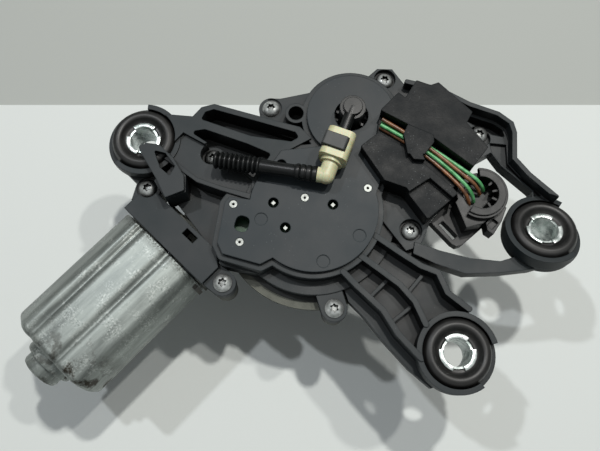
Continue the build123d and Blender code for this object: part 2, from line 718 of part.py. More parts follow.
def armature_core():
    """Slotted stack of laminations."""
    start = -can_length + rear_room
    stack = on_shaft(core_r, start, start + core_length)
    stack -= on_shaft(shaft_r + tiny, start - 1, start + core_length + 1)
    for count in range(core_slots):
        turn = count * 360 / core_slots
        spot = polar((0, 0), core_r - 3.2, turn)
        slot = Pos(spot[0], spot[1], start + core_length / 2) * Rot(0, 0, turn) * Box(6.0, 1.8, core_length + 2)
        stack -= motor_plane * slot
    return stack


def armature_windings():
    """Copper end turns at both ends of the stack."""
    start = -can_length + rear_room
    rear = on_shaft_ring(core_r - 1.6, shaft_r + 1.2, start - 6.0, start - 0.1)
    front = on_shaft_ring(core_r - 1.6, shaft_r + 1.2, start + core_length + 0.1, start + core_length + 5.0)
    return Compound(children=[rear, front])


commutator_start = -brush_room - commutator_length


def commutator():
    """Copper segments on a moulded hub."""
    barrel = on_shaft_ring(commutator_r, shaft_r + tiny, commutator_start, commutator_start + commutator_length)
    for count in range(core_slots):
        turn = (count + 0.5) * 360 / core_slots
        spot = polar((0, 0), commutator_r, turn)
        cut = Pos(spot[0], spot[1], commutator_start + commutator_length / 2) * Rot(0, 0, turn) \
            * Box(1.6, 0.4, commutator_length + 2)
        barrel -= motor_plane * cut
    return barrel


brush_middle = commutator_start + commutator_length / 2 + 1.0


# Across the motor: brush guide, brush and spring, from the commutator out to the can's wall
guide_inner = commutator_r + 3.5
guide_outer = half_width - can_wall - 3.4
brush_outer = guide_outer - spring_room
guide_open = brush_width + 0.2


def brush_holder():
    """Moulded plate in the can's mouth that guides the brushes."""
    plate_low = -3.4
    plate = Pos(0, 0, plate_low) * extrude(offset(can_profile(can_wall), amount=-0.2), 2.2)
    plate -= Pos(0, 0, -6) * Cylinder(commutator_r + 1.6, 20)
    guide_at = (guide_inner + guide_outer) / 2
    guide_long = guide_outer - guide_inner
    guide_wide = guide_open + 2 * brush_guide_wall
    for side in (1, -1):
        guide = Pos(side * guide_at, 0, brush_middle) * Box(guide_long, guide_wide, guide_wide)
        post = Box(guide_long, guide_wide, plate_low + 1 - brush_middle, align=upright)
        guide += Pos(side * guide_at, 0, brush_middle) * post
        guide -= Pos(side * guide_at, 0, brush_middle) * Box(guide_long + 2, guide_open, guide_open)
        plate += guide
    return motor_plane * plate


def carbon_brushes():
    pieces = []
    for side in (1, -1):
        inner = commutator_r - 1.0
        block = Pos(side * (inner + brush_outer) / 2, 0, brush_middle) \
            * Box(brush_outer - inner, brush_width, brush_width)
        block -= Pos(0, 0, brush_middle) * Cylinder(commutator_r + 0.25, 2 * brush_width)
        pieces.append(motor_plane * block)
    return Compound(children=pieces)


def brush_springs():
    """Leaf springs that press the brushes inwards."""
    pieces = []
    start = brush_outer + 0.3
    for side in (1, -1):
        strip = [(start, -0.6), (start + 1.3, -0.9), (guide_outer - 0.6, 1.8), (guide_outer - 0.3, 1.2),
                 (start + 1.5, -1.7), (start, -1.4)]
        face = make_face(Polyline(*[(side * x, y) for x, y in strip], close=True))
        pieces.append(motor_plane * (Pos(0, 0, brush_middle - 1.5) * extrude(face, 3.0)))
    return Compound(children=pieces)


# Worm wheel, crank and sector drive

def toothed_face(teeth, module, up, down, share, phase):
    """Outline of a spur gear in plan about the origin, straight-flanked teeth."""
    pitch_r = teeth * module / 2
    step = 360 / teeth
    half = step * share / 2
    slope = math.degrees(math.tan(math.radians(tooth_slope)) / pitch_r)
    points = []
    for count in range(teeth):
        middle = phase + count * step
        points.append(polar((0, 0), pitch_r - down, middle - half - down * slope))
        points.append(polar((0, 0), pitch_r + up, middle - half + up * slope))
        points.append(polar((0, 0), pitch_r + up, middle + half - up * slope))
        points.append(polar((0, 0), pitch_r - down, middle + half + down * slope))
    return make_face(Polyline(*points, close=True))


def worm_wheel():
    """Moulded helical wheel with a ribbed web and a boss for the crank pin."""
    worm_side = motor_turn + 90
    step = 360 / wheel_teeth
    lead_turn = math.degrees(math.tan(math.atan(wheel_module / (2 * worm_pitch_r))) / wheel_pitch_r)
    twist = lead_turn * wheel_thick
    face = toothed_face(wheel_teeth, wheel_module, tooth_height_up, tooth_height_down, tooth_share,
                        worm_side + step / 2)
    low_face = Rot(0, 0, -twist / 2) * face
    high_face = Pos(0, 0, wheel_thick) * Rot(0, 0, twist / 2) * face
    wheel = Pos(0, 0, wheel_low) * loft([low_face, high_face], ruled=True)
    rim_r = wheel_pitch_r - 5.5
    recess = ring((0, 0), rim_r, wheel_pin_r + 4.0, wheel_low + 4.6, wheel_high + 1)
    recess -= disc(polar((0, 0), crank_r, crank_turn), crank_pin_r + 2.6, wheel_low, wheel_high + 2)
    wheel -= recess
    for count in range(6):
        turn = crank_turn + 60 * count
        wheel += wall([polar((0, 0), wheel_pin_r + 3.0, turn), polar((0, 0), rim_r + 1.0, turn)], 1.8,
                      wheel_low + 3.0, wheel_high - 0.8)
    wheel -= disc((0, 0), wheel_pin_r + running_gap, wheel_low - 1, wheel_high + 1)
    wheel -= disc(polar((0, 0), crank_r, crank_turn), crank_pin_r + tiny, wheel_low + 1.5, wheel_high + 2)
    return Pos(wheel_at[0], wheel_at[1], 0) * wheel


def wheel_pin():
    """Fixed steel pin that the worm wheel turns on."""
    return disc(wheel_at, wheel_pin_r, gearbox_floor - 0.5, wheel_high)


def crank_pin():
    """Pin pressed in the wheel; its upper part ends just under the rod."""
    return disc(crank_at, crank_pin_r, wheel_low + 1.5, rod_low - open_gap)


def connecting_rod():
    """Rod from the crank to the sector pivot, with the toothed sector round that pivot."""
    to_spindle = turn_to(sector_pivot, spindle_at)
    sector_teeth = int(round(2 * sector_radius / fine_module))
    face = toothed_face(sector_teeth, fine_module, 0.85 * fine_module, 1.15 * fine_module, 0.44, to_spindle)
    gear = Pos(sector_pivot[0], sector_pivot[1], rod_low) * extrude(face, rod_thick)
    reach = sector_radius + 4
    # at park the mesh is at one end of the teeth; over the sweep it travels to the other end
    keep_low = to_spindle - sector_margin - sector_swing
    keep_high = to_spindle + sector_margin
    wedge = [sector_pivot]
    for share in range(7):
        wedge.append(polar(sector_pivot, reach, keep_low + (keep_high - keep_low) * share / 6))
    gear = gear & solid_of(wedge, rod_low - 1, rod_high + 1)
    hub = disc(sector_pivot, sector_pin_r + 3.2, rod_low, rod_high)
    arm = wall([sector_pivot, crank_at], 7.0, rod_low, rod_high)
    groove = wall([polar(sector_pivot, 10.0, crank_turn + 180), polar(crank_at, 10.0, crank_turn)], 2.6,
                  rod_high - 1.2, rod_high + 1)
    body = gear + hub + arm + disc(crank_at, rod_eye_r, rod_low, rod_high)
    body -= groove
    body -= disc(sector_pivot, sector_pin_r + running_gap, rod_low - 1, rod_high + 1)
    body -= disc(crank_at, crank_pin_r + running_gap, rod_low - 1, rod_high + 1)
    return body


spindle_sweep = 110.0
link_share = pinion_pitch_r / (pinion_pitch_r + sector_radius)
sector_swing = (1 - link_share) * pinion_pitch_r / sector_radius * spindle_sweep


def sector_pin():
    return disc(sector_pivot, sector_pin_r, rod_low, link_high)


def swing_link():
    """Plate that holds the sector pivot at its distance from the spindle."""
    plate = disc(spindle_at, link_eye_r + 1.0, link_low, link_high)
    plate += disc(sector_pivot, sector_pin_r + 3.0, link_low, link_high)
    ahead = turn_to(spindle_at, sector_pivot)
    sides = [polar(spindle_at, link_eye_r + 1.0, ahead + 90), polar(sector_pivot, sector_pin_r + 3.0, ahead + 90),
             polar(sector_pivot, sector_pin_r + 3.0, ahead - 90), polar(spindle_at, link_eye_r + 1.0, ahead - 90)]
    plate += solid_of(sides, link_low, link_high)
    plate -= disc(spindle_at, spindle_r + running_gap, link_low - 1, link_high + 1)
    plate -= disc(sector_pivot, sector_pin_r + tiny, link_low - 1, link_high + 1)
    return plate


pinion_low = rod_low - 0.1
pinion_high = link_low - 0.25


def output_pinion():
    """Steel pinion pressed on the spindle."""
    to_sector = turn_to(spindle_at, sector_pivot)
    face = toothed_face(pinion_teeth, fine_module, 0.85 * fine_module, 1.15 * fine_module, 0.44,
                        to_sector + 180 / pinion_teeth)
    gear = Pos(0, 0, pinion_low) * extrude(face, pinion_high - pinion_low)
    gear -= disc(spindle_at, spindle_r + tiny, pinion_low - 1, pinion_high + 1)
    return gear


clip_groove_high = neck_low - tiny
clip_groove_low = clip_groove_high - clip_groove_wide


def wiper_spindle():
    """Hollow spindle: threaded end, arm cone, journal and drive end, bored for the washer water."""
    profile = [(spindle_bore_r * 0.5, thread_low), (thread_r - 0.8, thread_low), (thread_r, thread_low + 0.8),
               (thread_r, cone_low), (cone_small_r, cone_low), (spindle_r, journal_low),
               (spindle_r, clip_groove_low), (clip_groove_r, clip_groove_low), (clip_groove_r, clip_groove_high),
               (spindle_r, clip_groove_high),
               (spindle_r, link_high + 0.6), (spindle_r, spindle_top - 0.6), (spindle_r - 0.6, spindle_top),
               (spindle_bore_r + running_gap, spindle_top), (spindle_bore_r + running_gap, spindle_top - 9.0),
               (spindle_bore_r * 0.5, spindle_top - 9.0)]
    body = revolve(make_face(Polyline(*[(r, 0, z) for r, z in profile], close=True)), Axis.Z, 360)
    return body


def spindle_washer():
    """Thrust washer between the upper bush and the pinion."""
    return ring(spindle_at, spindle_r + 2.6, spindle_r + running_gap, wheel_high - 0.2, pinion_low - 0.1)


def spindle_bushes():
    """Two sintered bushes in the spindle neck."""
    outer = spindle_r + bush_wall
    lower = ring(spindle_at, outer, spindle_r + running_gap, neck_low + 1.0, neck_low + 9.0)
    upper = ring(spindle_at, outer, spindle_r + running_gap, wheel_high - 9.2, wheel_high - 0.2)
    return Compound(children=[lower, upper])


def spindle_circlip():
    """Retaining ring under the neck."""
    clip = ring(spindle_at, spindle_r + 2.4, clip_groove_r + tiny, clip_groove_low + 0.1, clip_groove_high - 0.1)
    clip -= Pos(0, spindle_r + 2, neck_low) * Box(2 * clip_groove_r, 6.0, 6.0)
    return clip


def spindle_seal():
    """Rubber boot on the neck that seals the spindle hole in the tailgate."""
    inner = neck_r + 0.02
    profile = [(inner, gearbox_floor - 6.2), (inner + 4.6, gearbox_floor - 6.2), (inner + 4.6, gearbox_floor - 8.0),
               (inner + 2.2, gearbox_floor - 9.4), (inner + 3.2, neck_low + 2.4), (inner + 7.0, neck_low - 0.6),
               (inner + 6.2, neck_low - 1.4), (inner + 1.6, neck_low + 1.4), (inner, neck_low + 1.4)]
    return revolve(make_face(Polyline(*[(r, 0, z) for r, z in profile], close=True)), Axis.Z, 360)


# Plug module and its wires

upper_block_points = [(12.6, -1.8), (21.3, 7.2), (24.4, 4.4), (29.9, 13.4), (36.4, 10.9), (40.2, 12.3),
                      (54.8, -2.8), (51.8, -8.2), (60.6, -20.3), (53.2, -29.6), (36.0, -15.4)]
lower_block_points = [(3.4, -18.4), (11.9, -11.6), (25.4, -21.0), (44.0, -38.8), (46.0, -41.4), (32.6, -52.4),
                      (23.2, -38.6), (13.6, -35.0)]
channel_points = [(11.4, -11.4), (12.8, -2.4), (36.0, -15.8), (53.0, -29.8), (51.2, -32.4), (43.8, -38.4),
                  (25.4, -20.8)]
bridge_points = [(24.0, -23.6), (31.6, -23.8), (36.2, -18.0), (36.2, -14.4), (24.8, -9.2), (22.6, -13.8)]
channel_floor = 60.0
lower_block_top = 63.2
curb = 2.6


def module_cover():
    """Closed cover of the plug module with a wire channel and a bridge over it."""
    block = solid_of(upper_block_points, band_top, module_top, 0.6)
    block += solid_of(lower_block_points, band_top, lower_block_top, 0.6)
    block += solid_of(channel_points, band_top, channel_floor)
    block += solid_of(bridge_points, wire_high + wire_r + 0.3, module_top + 0.4)
    pillar_points = [(24.0, -22.0), (30.2, -22.2), (31.6, -26.6), (26.6, -26.2)]
    block += solid_of(pillar_points, lower_block_top - 1, module_top + 0.4)
    shelf = [(22.0, -42.0), (32.0, -53.4), (44.0, -43.6), (34.0, -34.0)]
    block -= solid_of(shelf, lower_block_top - 3.0, lower_block_top + 1)
    block -= cover_block(band_top - 1, cover_top + 0.2, curb + 0.3)
    block -= disc(module_screw_at, screw_head_r + 1.2, band_top - 1, module_top + 4)
    for place in frame_screw_places:
        block -= disc(place, ear_r, band_top - 1, module_top + 4)
    return block


collar_at = (57.3, -40.4)
collar_top = 62.0
collar_r = 12.0
collar_inside_r = 7.6
plug_flange_points = [(34.4, -48.6), (45.2, -61.0), (47.4, -62.4), (50.0, -61.6), (58.5, -54.5), (66.0, -48.0),
                      (67.0, -36.0), (52.0, -30.0), (40.0, -40.0)]
plug_stem_points = [(46.0, -44.0), (50.0, -56.0), (57.6, -54.0), (66.4, -46.6), (66.0, -36.0), (54.0, -33.4)]
latch_points = [(63.8, -48.3), (66.4, -42.4), (69.0, -46.4), (66.4, -52.6), (62.1, -58.8), (59.6, -57.0),
                (59.2, -53.4)]
plug_slot_points = [(39.8, -51.8), (46.0, -59.2), (48.2, -57.2), (42.0, -50.0)]
plug_mouth = 34.0
plug_depth = 13.5
terminal_r = 0.6
terminal_places = [(59.9, -37.4), (58.0, -39.2), (55.0, -42.8), (52.8, -44.2)]


def connector_socket():
    """Plug socket: flanged body with a round collar that the wires run into, and a latch tab."""
    body = solid_of(plug_flange_points, frame_floor + 2.4, 49.0)
    body += solid_of(plug_stem_points, 46.0, 58.6)
    body += disc(collar_at, collar_r - 1.6, 50.0, collar_top - 3.0)
    body += ring(collar_at, collar_r, collar_r - 3.4, collar_top - 3.2, collar_top - 1.0)
    body += ring(collar_at, collar_r - 1.2, collar_inside_r, collar_top - 3.2, collar_top)
    body += solid_of(latch_points, 50.0, 57.6)
    body -= solid_of([(61.6, -56.6), (64.8, -53.4), (62.6, -51.4), (59.6, -54.6)], 56.0, 60.0)
    wire_gap = [collar_at, polar(collar_at, collar_r * 2, 92), polar(collar_at, collar_r * 2, 165),
                polar(collar_at, collar_r * 2, 235)]
    body -= solid_of(wire_gap, 58.6, collar_top + 2)
    body -= disc(collar_at, collar_inside_r, 54.0, collar_top + 2)
    for turn in (-60, -25, 10, 45):
        start = polar(collar_at, collar_inside_r + 0.6, turn)
        end = polar(collar_at, collar_inside_r - 2.0, turn)
        body += wall([start, end], 1.1, 53.5, collar_top - 1.4)
    body -= solid_of(plug_slot_points, 42.0, 60.0)
    body += plug_place() * Pos(0, 0, plug_mouth) * Box(20.0, 11.0, 50.0 - plug_mouth, align=upright)
    body -= plug_place() * Pos(0, 0, plug_mouth - 1) * Box(17.0, 8.0, plug_depth + 1, align=upright)
    for spot in terminal_places:
        body -= disc(spot, terminal_r + tiny, plug_mouth, 55.0)
    plate_side = [(61.0, -20.0), (51.6, -32.4), (36.0, -50.7), (30.8, -62.5), (10.0, -50.0), (40.0, -10.0)]
    body -= solid_of(plate_side, frame_floor, band_top + 0.1)
    module_side = make_face(Polyline(*lower_block_points, close=True))
    body -= Pos(0, 0, band_top) * extrude(offset(module_side, amount=0.15), 20)
    channel_side = make_face(Polyline(*channel_points, close=True))
    body -= Pos(0, 0, band_top) * extrude(offset(channel_side, amount=0.15), 20)
    return body


def plug_place():
    """Middle of the terminal row, turned along it; the harness plug enters here from below."""
    first = terminal_places[0]
    last = terminal_places[-1]
    middle = ((first[0] + last[0]) / 2, (first[1] + last[1]) / 2)
    return Pos(middle[0], middle[1], 0) * Rot(0, 0, turn_to(last, first))


def socket_terminals():
    """Round pins from the collar, where the wires end, down into the plug's socket."""
    pins = []
    for spot in terminal_places:
        pins.append(disc(spot, terminal_r, plug_mouth + plug_depth - 3.0, wire_end - 0.4))
    return Compound(children=pins)


wire_low = channel_floor + wire_r + 0.1
wire_high = wire_low + 2 * wire_r + 0.25
wire_end = 55.3
wire_routes = {
    "green_wire_upper": [(13.6, -5.1, wire_low), (32.6, -16.2, wire_low), (49.3, -29.2, 61.7),
                         (58.0, -35.6, 60.6), (59.9, -37.4, wire_end)],
    "brown_wire_upper": [(13.6, -5.1, wire_high), (32.2, -17.0, wire_high), (48.2, -31.3, 62.3),
                         (56.0, -37.4, 60.9), (58.0, -39.2, wire_end)],
    "green_wire_lower": [(12.8, -7.9, wire_high), (30.9, -18.7, wire_high), (46.6, -32.8, 62.3),
                         (53.6, -40.8, 60.9), (55.0, -42.8, wire_end)],
    "brown_wire_lower": [(12.6, -8.3, wire_low), (30.4, -19.4, wire_low), (45.0, -34.3, 61.7),
                         (51.4, -42.0, 60.6), (52.8, -44.2, wire_end)],
}


def bend_radii(points):
    """As large an arc at each corner as its two runs allow."""
    radii = []
    for before, here, after in zip(points, points[1:], points[2:]):
        arrive = Vector(*here) - Vector(*before)
        leave = Vector(*after) - Vector(*here)
        half_turn = math.radians(arrive.get_angle(leave)) / 2
        radii.append(0.45 * min(arrive.length, leave.length) / math.tan(half_turn))
    return radii


def wire(name):
    """One wire from the module's channel, under the bridge and into the collar."""
    points = wire_routes[name]
    radii = bend_radii(points)
    print(name, "bends", [round(radius, 1) for radius in radii])
    path = FilletPolyline(*points, radius=radii)
    start = Plane(origin=path @ 0, z_dir=path % 0)
    return sweep(start * Circle(wire_r), path=path)


# Washer connection

knee_at = (-12.7, -33.4)
pipe_turn = turn_to(spindle_at, knee_at)
coupling_start = 14.0


def pipe_plane(forward):
    """Plane across the nozzle's side pipe, at a distance from the spindle axis."""
    spot = polar(spindle_at, forward, pipe_turn)
    way = polar((0, 0), 1.0, pipe_turn)
    return Plane(origin=(spot[0], spot[1], nozzle_high), x_dir=(0, 0, 1), z_dir=(way[0], way[1], 0))


def water_nozzle():
    """Elbow that feeds water into the hollow spindle, with stiffening ribs round its head."""
    head = disc(spindle_at, nozzle_head_r, spindle_top + 0.5, nozzle_high + 1.0)
    head += disc(spindle_at, nozzle_head_r - 1.6, nozzle_high, nozzle_high + 2.6)
    for turn in (20, 92, 164, 316):
        tip = polar(spindle_at, nozzle_hole_r - 1.2, turn)
        head += wall([spindle_at, tip], 1.4, spindle_top + 0.5, cover_top - 0.4)
    head += disc(spindle_at, spindle_bore_r, spindle_top - 8.0, nozzle_high)
    pipe = pipe_plane(0.0) * (Cylinder(2.7, coupling_start + 6, align=(Align.CENTER, Align.CENTER, Align.MIN)))
    head += pipe
    head -= disc(spindle_at, 1.2, spindle_top - 9.0, nozzle_high)
    return head


def nozzle_seal_ring():
    """O-ring on the nozzle's side pipe inside the coupling."""
    return pipe_plane(coupling_start + 2.0) * Torus(3.1, 0.38)


elbow_reach = math.dist(spindle_at, knee_at)
coupling_outer_r = 5.2
shoulder_length = 13.6
shoulder_width = 13.0
shoulder_high = 11.6
shoulder_rise = 1.0
window_start = 3.4
window_length = 7.0
window_floor = 3.0
window_wall = 2.0
clip_high = 5.0
clip_gap = 0.3
tail_r = 3.0
tail_start = 4.0
tail_length = 28.0
hose_start = 22.0
hose_length = 30.0
hose_end = (-63.5, -24.6, 61.6)


def hose_coupling():
    """Quick coupling: socket on the nozzle's pipe, a clip window and an elbow to the hose."""
    bore = 2.7 + running_gap
    barrel = pipe_plane(coupling_start) * Cylinder(coupling_outer_r, shoulder_length + 2.0, align=upright)
    block = Pos(shoulder_rise, 0, 0) * Box(shoulder_high, shoulder_width, shoulder_length, align=upright)
    block = fillet(block.edges().filter_by(Axis.Z), 3.0)
    opening = Box(shoulder_high, shoulder_width + window_wall, window_length,
                  align=(Align.MIN, Align.MIN, Align.MIN))
    block -= Pos(window_floor, window_wall - shoulder_width / 2, window_start) * opening
    shoulder = pipe_plane(coupling_start + 0.4) * block
    neck = pipe_plane(coupling_start + shoulder_length) * Cylinder(3.8, elbow_reach - coupling_start - shoulder_length,
                                                                   align=upright)
    knee = Pos(knee_at[0], knee_at[1], nozzle_high) * Sphere(3.8)
    body = barrel + shoulder + neck + knee
    body -= pipe_plane(coupling_start + 0.4) * (Pos(window_floor, window_wall - shoulder_width / 2, window_start)
                                                * opening)
    body += hose_plane(0.0) * Cylinder(3.5, tail_start, align=upright)
    body += hose_plane(tail_start) * Cylinder(tail_r - hose_wall - tiny, 6.0, align=upright)
    body -= pipe_plane(coupling_start - 1) * Cylinder(bore, 7.2, align=upright)
    body -= pipe_plane(coupling_start + 1.2) * Cylinder(3.1 + 0.45, 1.6, align=upright)
    return body


def hose_plane(forward):
    """Plane across the hose, at a distance from the elbow's centre."""
    way = (hose_end[0] - knee_at[0], hose_end[1] - knee_at[1], hose_end[2] - nozzle_high)
    size = math.sqrt(sum(part * part for part in way))
    way = tuple(part / size for part in way)
    spot = (knee_at[0] + way[0] * forward, knee_at[1] + way[1] * forward, nozzle_high + way[2] * forward)
    return Plane(origin=spot, z_dir=way)


def coupling_clip():
    """Locking clip that slides in the coupling's window."""
    high = clip_high
    block = Box(high, shoulder_width - window_wall, window_length - 2 * clip_gap,
                align=(Align.MIN, Align.MIN, Align.MIN))
    block = fillet(block.edges().filter_by(Axis.Z).sort_by(Axis.X)[-2:], 1.2)
    place = Pos(window_floor + clip_gap, window_wall + clip_gap - shoulder_width / 2, window_start + clip_gap)
    return pipe_plane(coupling_start + 0.4) * (place * block)


def hose_tail():
    """Smooth pipe on the elbow's barb that carries the hose."""
    tube = hose_plane(tail_start + 0.02) * Cylinder(tail_r, tail_length, align=upright)
    tube -= hose_plane(tail_start - 1) * Cylinder(tail_r - hose_wall, tail_length + 2, align=upright)
    return tube


def washer_hose():
    """Free stub of corrugated washer hose on the tail."""
    tube = hose_plane(hose_start) * Cylinder(hose_r, hose_length, align=upright)
    tube -= hose_plane(hose_start - 1) * Cylinder(tail_r + tiny, hose_length + 2, align=upright)
    return tube


def build():
    pieces = {}
    pieces["housing_frame"] = housing_frame()
    pieces["cover_plate"] = cover_plate()
    pieces["gear_housing"] = gear_housing()
    pieces["housing_gasket"] = housing_gasket()
    pieces["frame_screws"] = screw_set(frame_screw_places + band_screw_places, screw_seat, 12.0)
    pieces["module_screw"] = screw(module_screw_at, screw_seat, 5.0)
    pieces["circuit_board"] = circuit_board()
    pieces["board_posts"] = board_posts()
    pieces["contact_pins"] = contact_pins()
    pieces["board_rivets"] = board_rivets()
    pieces["board_parts"] = board_parts()
    pieces["motor_can"] = motor_can()
    pieces["field_magnets"] = field_magnets()
    pieces["end_bearing"] = end_bearing()
    pieces["front_bearing"] = front_bearing()
    pieces["thrust_screw"] = thrust_screw()
    pieces["brush_holder"] = brush_holder()
    pieces["carbon_brushes"] = carbon_brushes()
    pieces["brush_springs"] = brush_springs()
    pieces["armature_shaft"] = armature_shaft()
    pieces["armature_core"] = armature_core()
    pieces["armature_windings"] = armature_windings()
    pieces["commutator"] = commutator()
    pieces["worm_wheel"] = worm_wheel()
    pieces["wheel_pin"] = wheel_pin()
    pieces["crank_pin"] = crank_pin()
    pieces["connecting_rod"] = connecting_rod()
    pieces["sector_pin"] = sector_pin()
    pieces["swing_link"] = swing_link()
    pieces["output_pinion"] = output_pinion()
    pieces["wiper_spindle"] = wiper_spindle()
    pieces["spindle_washer"] = spindle_washer()
    pieces["spindle_bushes"] = spindle_bushes()
    pieces["spindle_circlip"] = spindle_circlip()
    pieces["spindle_seal"] = spindle_seal()
    for name, place in (("left", eye_place(left_eye_at)), ("bottom", eye_place(bottom_eye_at)),
                        ("right", right_eye_plane())):
        pieces[name + "_grommet"] = place * grommet()
        pieces[name + "_sleeve"] = place * sleeve()
    pieces["module_cover"] = module_cover()
    pieces["connector_socket"] = connector_socket()
    pieces["socket_terminals"] = socket_terminals()
    for name in wire_routes:
        pieces[name] = wire(name)
    pieces["water_nozzle"] = water_nozzle()
    pieces["nozzle_seal_ring"] = nozzle_seal_ring()
    pieces["hose_coupling"] = hose_coupling()
    pieces["coupling_clip"] = coupling_clip()
    pieces["hose_tail"] = hose_tail()
    pieces["washer_hose"] = washer_hose()
    return pieces


os.makedirs("parts", exist_ok=True)
for node, shape in build().items():
    export_step(shape, "parts/" + node + ".step")
    print(node, round(shape.volume, 1))
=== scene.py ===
import bmesh
import bpy
import json
import math
import numpy as np
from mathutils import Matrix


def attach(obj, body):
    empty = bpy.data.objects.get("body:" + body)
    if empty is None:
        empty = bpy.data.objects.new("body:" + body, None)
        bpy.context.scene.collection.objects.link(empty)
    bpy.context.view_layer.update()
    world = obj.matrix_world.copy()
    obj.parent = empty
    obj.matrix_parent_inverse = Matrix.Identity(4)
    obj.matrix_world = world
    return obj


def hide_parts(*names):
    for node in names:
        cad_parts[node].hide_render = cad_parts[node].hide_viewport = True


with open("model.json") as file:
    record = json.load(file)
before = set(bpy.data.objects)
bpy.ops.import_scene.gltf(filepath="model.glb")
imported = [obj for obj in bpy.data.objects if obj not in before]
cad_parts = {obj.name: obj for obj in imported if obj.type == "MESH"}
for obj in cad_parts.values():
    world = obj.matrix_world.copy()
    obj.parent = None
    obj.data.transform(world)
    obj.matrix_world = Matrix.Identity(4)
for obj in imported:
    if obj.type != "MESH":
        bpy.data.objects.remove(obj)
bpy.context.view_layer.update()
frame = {"nodes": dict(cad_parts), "record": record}
nodes = frame["nodes"]
bodyOf = {node: body for body, members in frame["record"]["behaviour"]["bodies"].items() for node in members}
slotOf = {row["node"]: row["material_slot"] for row in frame["record"]["subparts"]}
mm = 0.001
fullTurn = 2 * math.pi
print("frame loaded", len(nodes), "nodes")

# Shader nodes


def linearColour(hexText):
    # sRGB to linear: c / 12.92 up to 0.04045, and ((c + 0.055) / 1.055) ^ 2.4 above it
    parts = np.array([int(hexText[start:start + 2], 16) for start in (1, 3, 5)]) / 255
    curve = np.where(parts <= 0.04045, parts / 12.92, ((parts + 0.055) / 1.055) ** 2.4)
    return (*curve, 1.0)


def addNode(tree, kind, settings=None):
    # Adds a shader node. A setting is a plain value, a hex colour or another node's output to link,
    # and goes to the input of that name or number, or else to the node's own property.
    node = tree.nodes.new(kind)
    for name, value in (settings or {}).items():
        if isinstance(value, bpy.types.NodeSocket):
            tree.links.new(value, node.inputs[name])
        elif isinstance(name, int) or name in node.inputs:
            node.inputs[name].default_value = linearColour(value) if isinstance(value, str) else value
        else:
            setattr(node, name, value)
    return node


def laidOver(tree, tone, colour, strength, spans):
    # Lays a colour over the tone and gives back both the new tone and the colour's share: the
    # strength times how far each value has come along its own span, from 0 to 1.
    share = None
    for value, (start, end) in spans:
        most = strength if share is None else 1.0
        settings = {"Value": value, "From Min": start, "From Max": end, "To Min": 0.0, "To Max": most}
        reached = addNode(tree, "ShaderNodeMapRange", settings).outputs[0]
        if share is not None:
            settings = {"operation": "MULTIPLY", 0: share, 1: reached}
            reached = addNode(tree, "ShaderNodeMath", settings).outputs[0]
        share = reached
    # a Mix node's lower and upper colour are its inputs 6 and 7, and the mixed one is its output 2
    settings = {"data_type": "RGBA", 0: share, 6: tone, 7: colour}
    return addNode(tree, "ShaderNodeMix", settings).outputs[2], share


def perMetre(size):
    # the scale of a pattern whose features are that many millimetres long
    return 1 / mm / size


# Camera, light and floor

camera = {"place": (-0.0244, -0.1298, 0.3194), "elevation": 74.0, "focalPixels": 607.0, "frameWidth": 600,
          "sensor": 36, "near": 0.01}
# each lamp's direction from the object: azimuth from +X, elevation above the table, in degrees
lamps = {
    "ceilingMiddle": {"azimuth": 65, "elevation": 71, "away": 1.16, "size": 0.04, "power": 6.2, "colour": "#fffdf8"},
    "ceilingLeft": {"azimuth": 146, "elevation": 62, "away": 1.9, "size": 0.06, "power": 8.2, "colour": "#f8fbff"},
    "ceilingRight": {"azimuth": 33, "elevation": 62, "away": 1.9, "size": 0.06, "power": 7.6, "colour": "#fffdf8"},
}
lampTarget = np.array([-0.01, -0.05, 0.0])
# past the table's far edge a lower sheet is painted grey: painted shade for the dim, grazing-lit wall behind the
# table
table = {"height": -0.0245, "reach": 3.0, "farEdge": 0.0472, "colour": "#e0e5e3", "paintedWallShade": "#b4b8b4",
         "beyondDrop": 0.004, "roughness": 0.7, "specular": 0.2}
room = {"walls": "#6a6f6d", "ceiling": "#dce0e0", "wallTop": (0.25, 0.95), "fill": "#e9eced", "fillStrength": 0.18}


def addLamp(name, lamp):
    light = bpy.data.lights.new(name, "AREA")
    light.size = lamp["size"]
    light.energy = lamp["power"]
    light.color = linearColour(lamp["colour"])[:3]
    holder = bpy.data.objects.new(name, light)
    around, above = math.radians(lamp["azimuth"]), math.radians(lamp["elevation"])
    way = np.array([math.cos(around) * math.cos(above), math.sin(around) * math.cos(above), math.sin(above)])
    holder.location = lampTarget + way * lamp["away"]
    # the lamp shines along its own -Z, back to the target
    holder.rotation_euler = (math.pi / 2 - above, 0, around + math.pi / 2)
    bpy.context.collection.objects.link(holder)


def addFloor(name, near, far, height, colour):
    # a level sheet between two distances along Y
    reach = table["reach"]
    mesh = bpy.data.meshes.new(name)
    mesh.from_pydata([(-reach, near, height), (reach, near, height), (reach, far, height), (-reach, far, height)],
                     [], [(0, 1, 2, 3)])
    sheet = bpy.data.objects.new(name, mesh)
    bpy.context.collection.objects.link(sheet)
    paint = bpy.data.materials.new(name + "Paint")
    paint.use_nodes = True
    shader = paint.node_tree.nodes["Principled BSDF"]
    shader.inputs["Base Color"].default_value = linearColour(colour)
    shader.inputs["Roughness"].default_value = table["roughness"]
    shader.inputs["Specular IOR Level"].default_value = table["specular"]
    mesh.materials.append(paint)


def addCamera():
    view = bpy.data.cameras.new("studioCamera")
    view.sensor_width = camera["sensor"]
    view.lens = camera["focalPixels"] / camera["frameWidth"] * view.sensor_width
    view.clip_start = camera["near"]
    eye = bpy.data.objects.new("studioCamera", view)
    eye.location = camera["place"]
    eye.rotation_euler = (math.radians(90 - camera["elevation"]), 0, 0)
    bpy.context.collection.objects.link(eye)
    bpy.context.scene.camera = eye


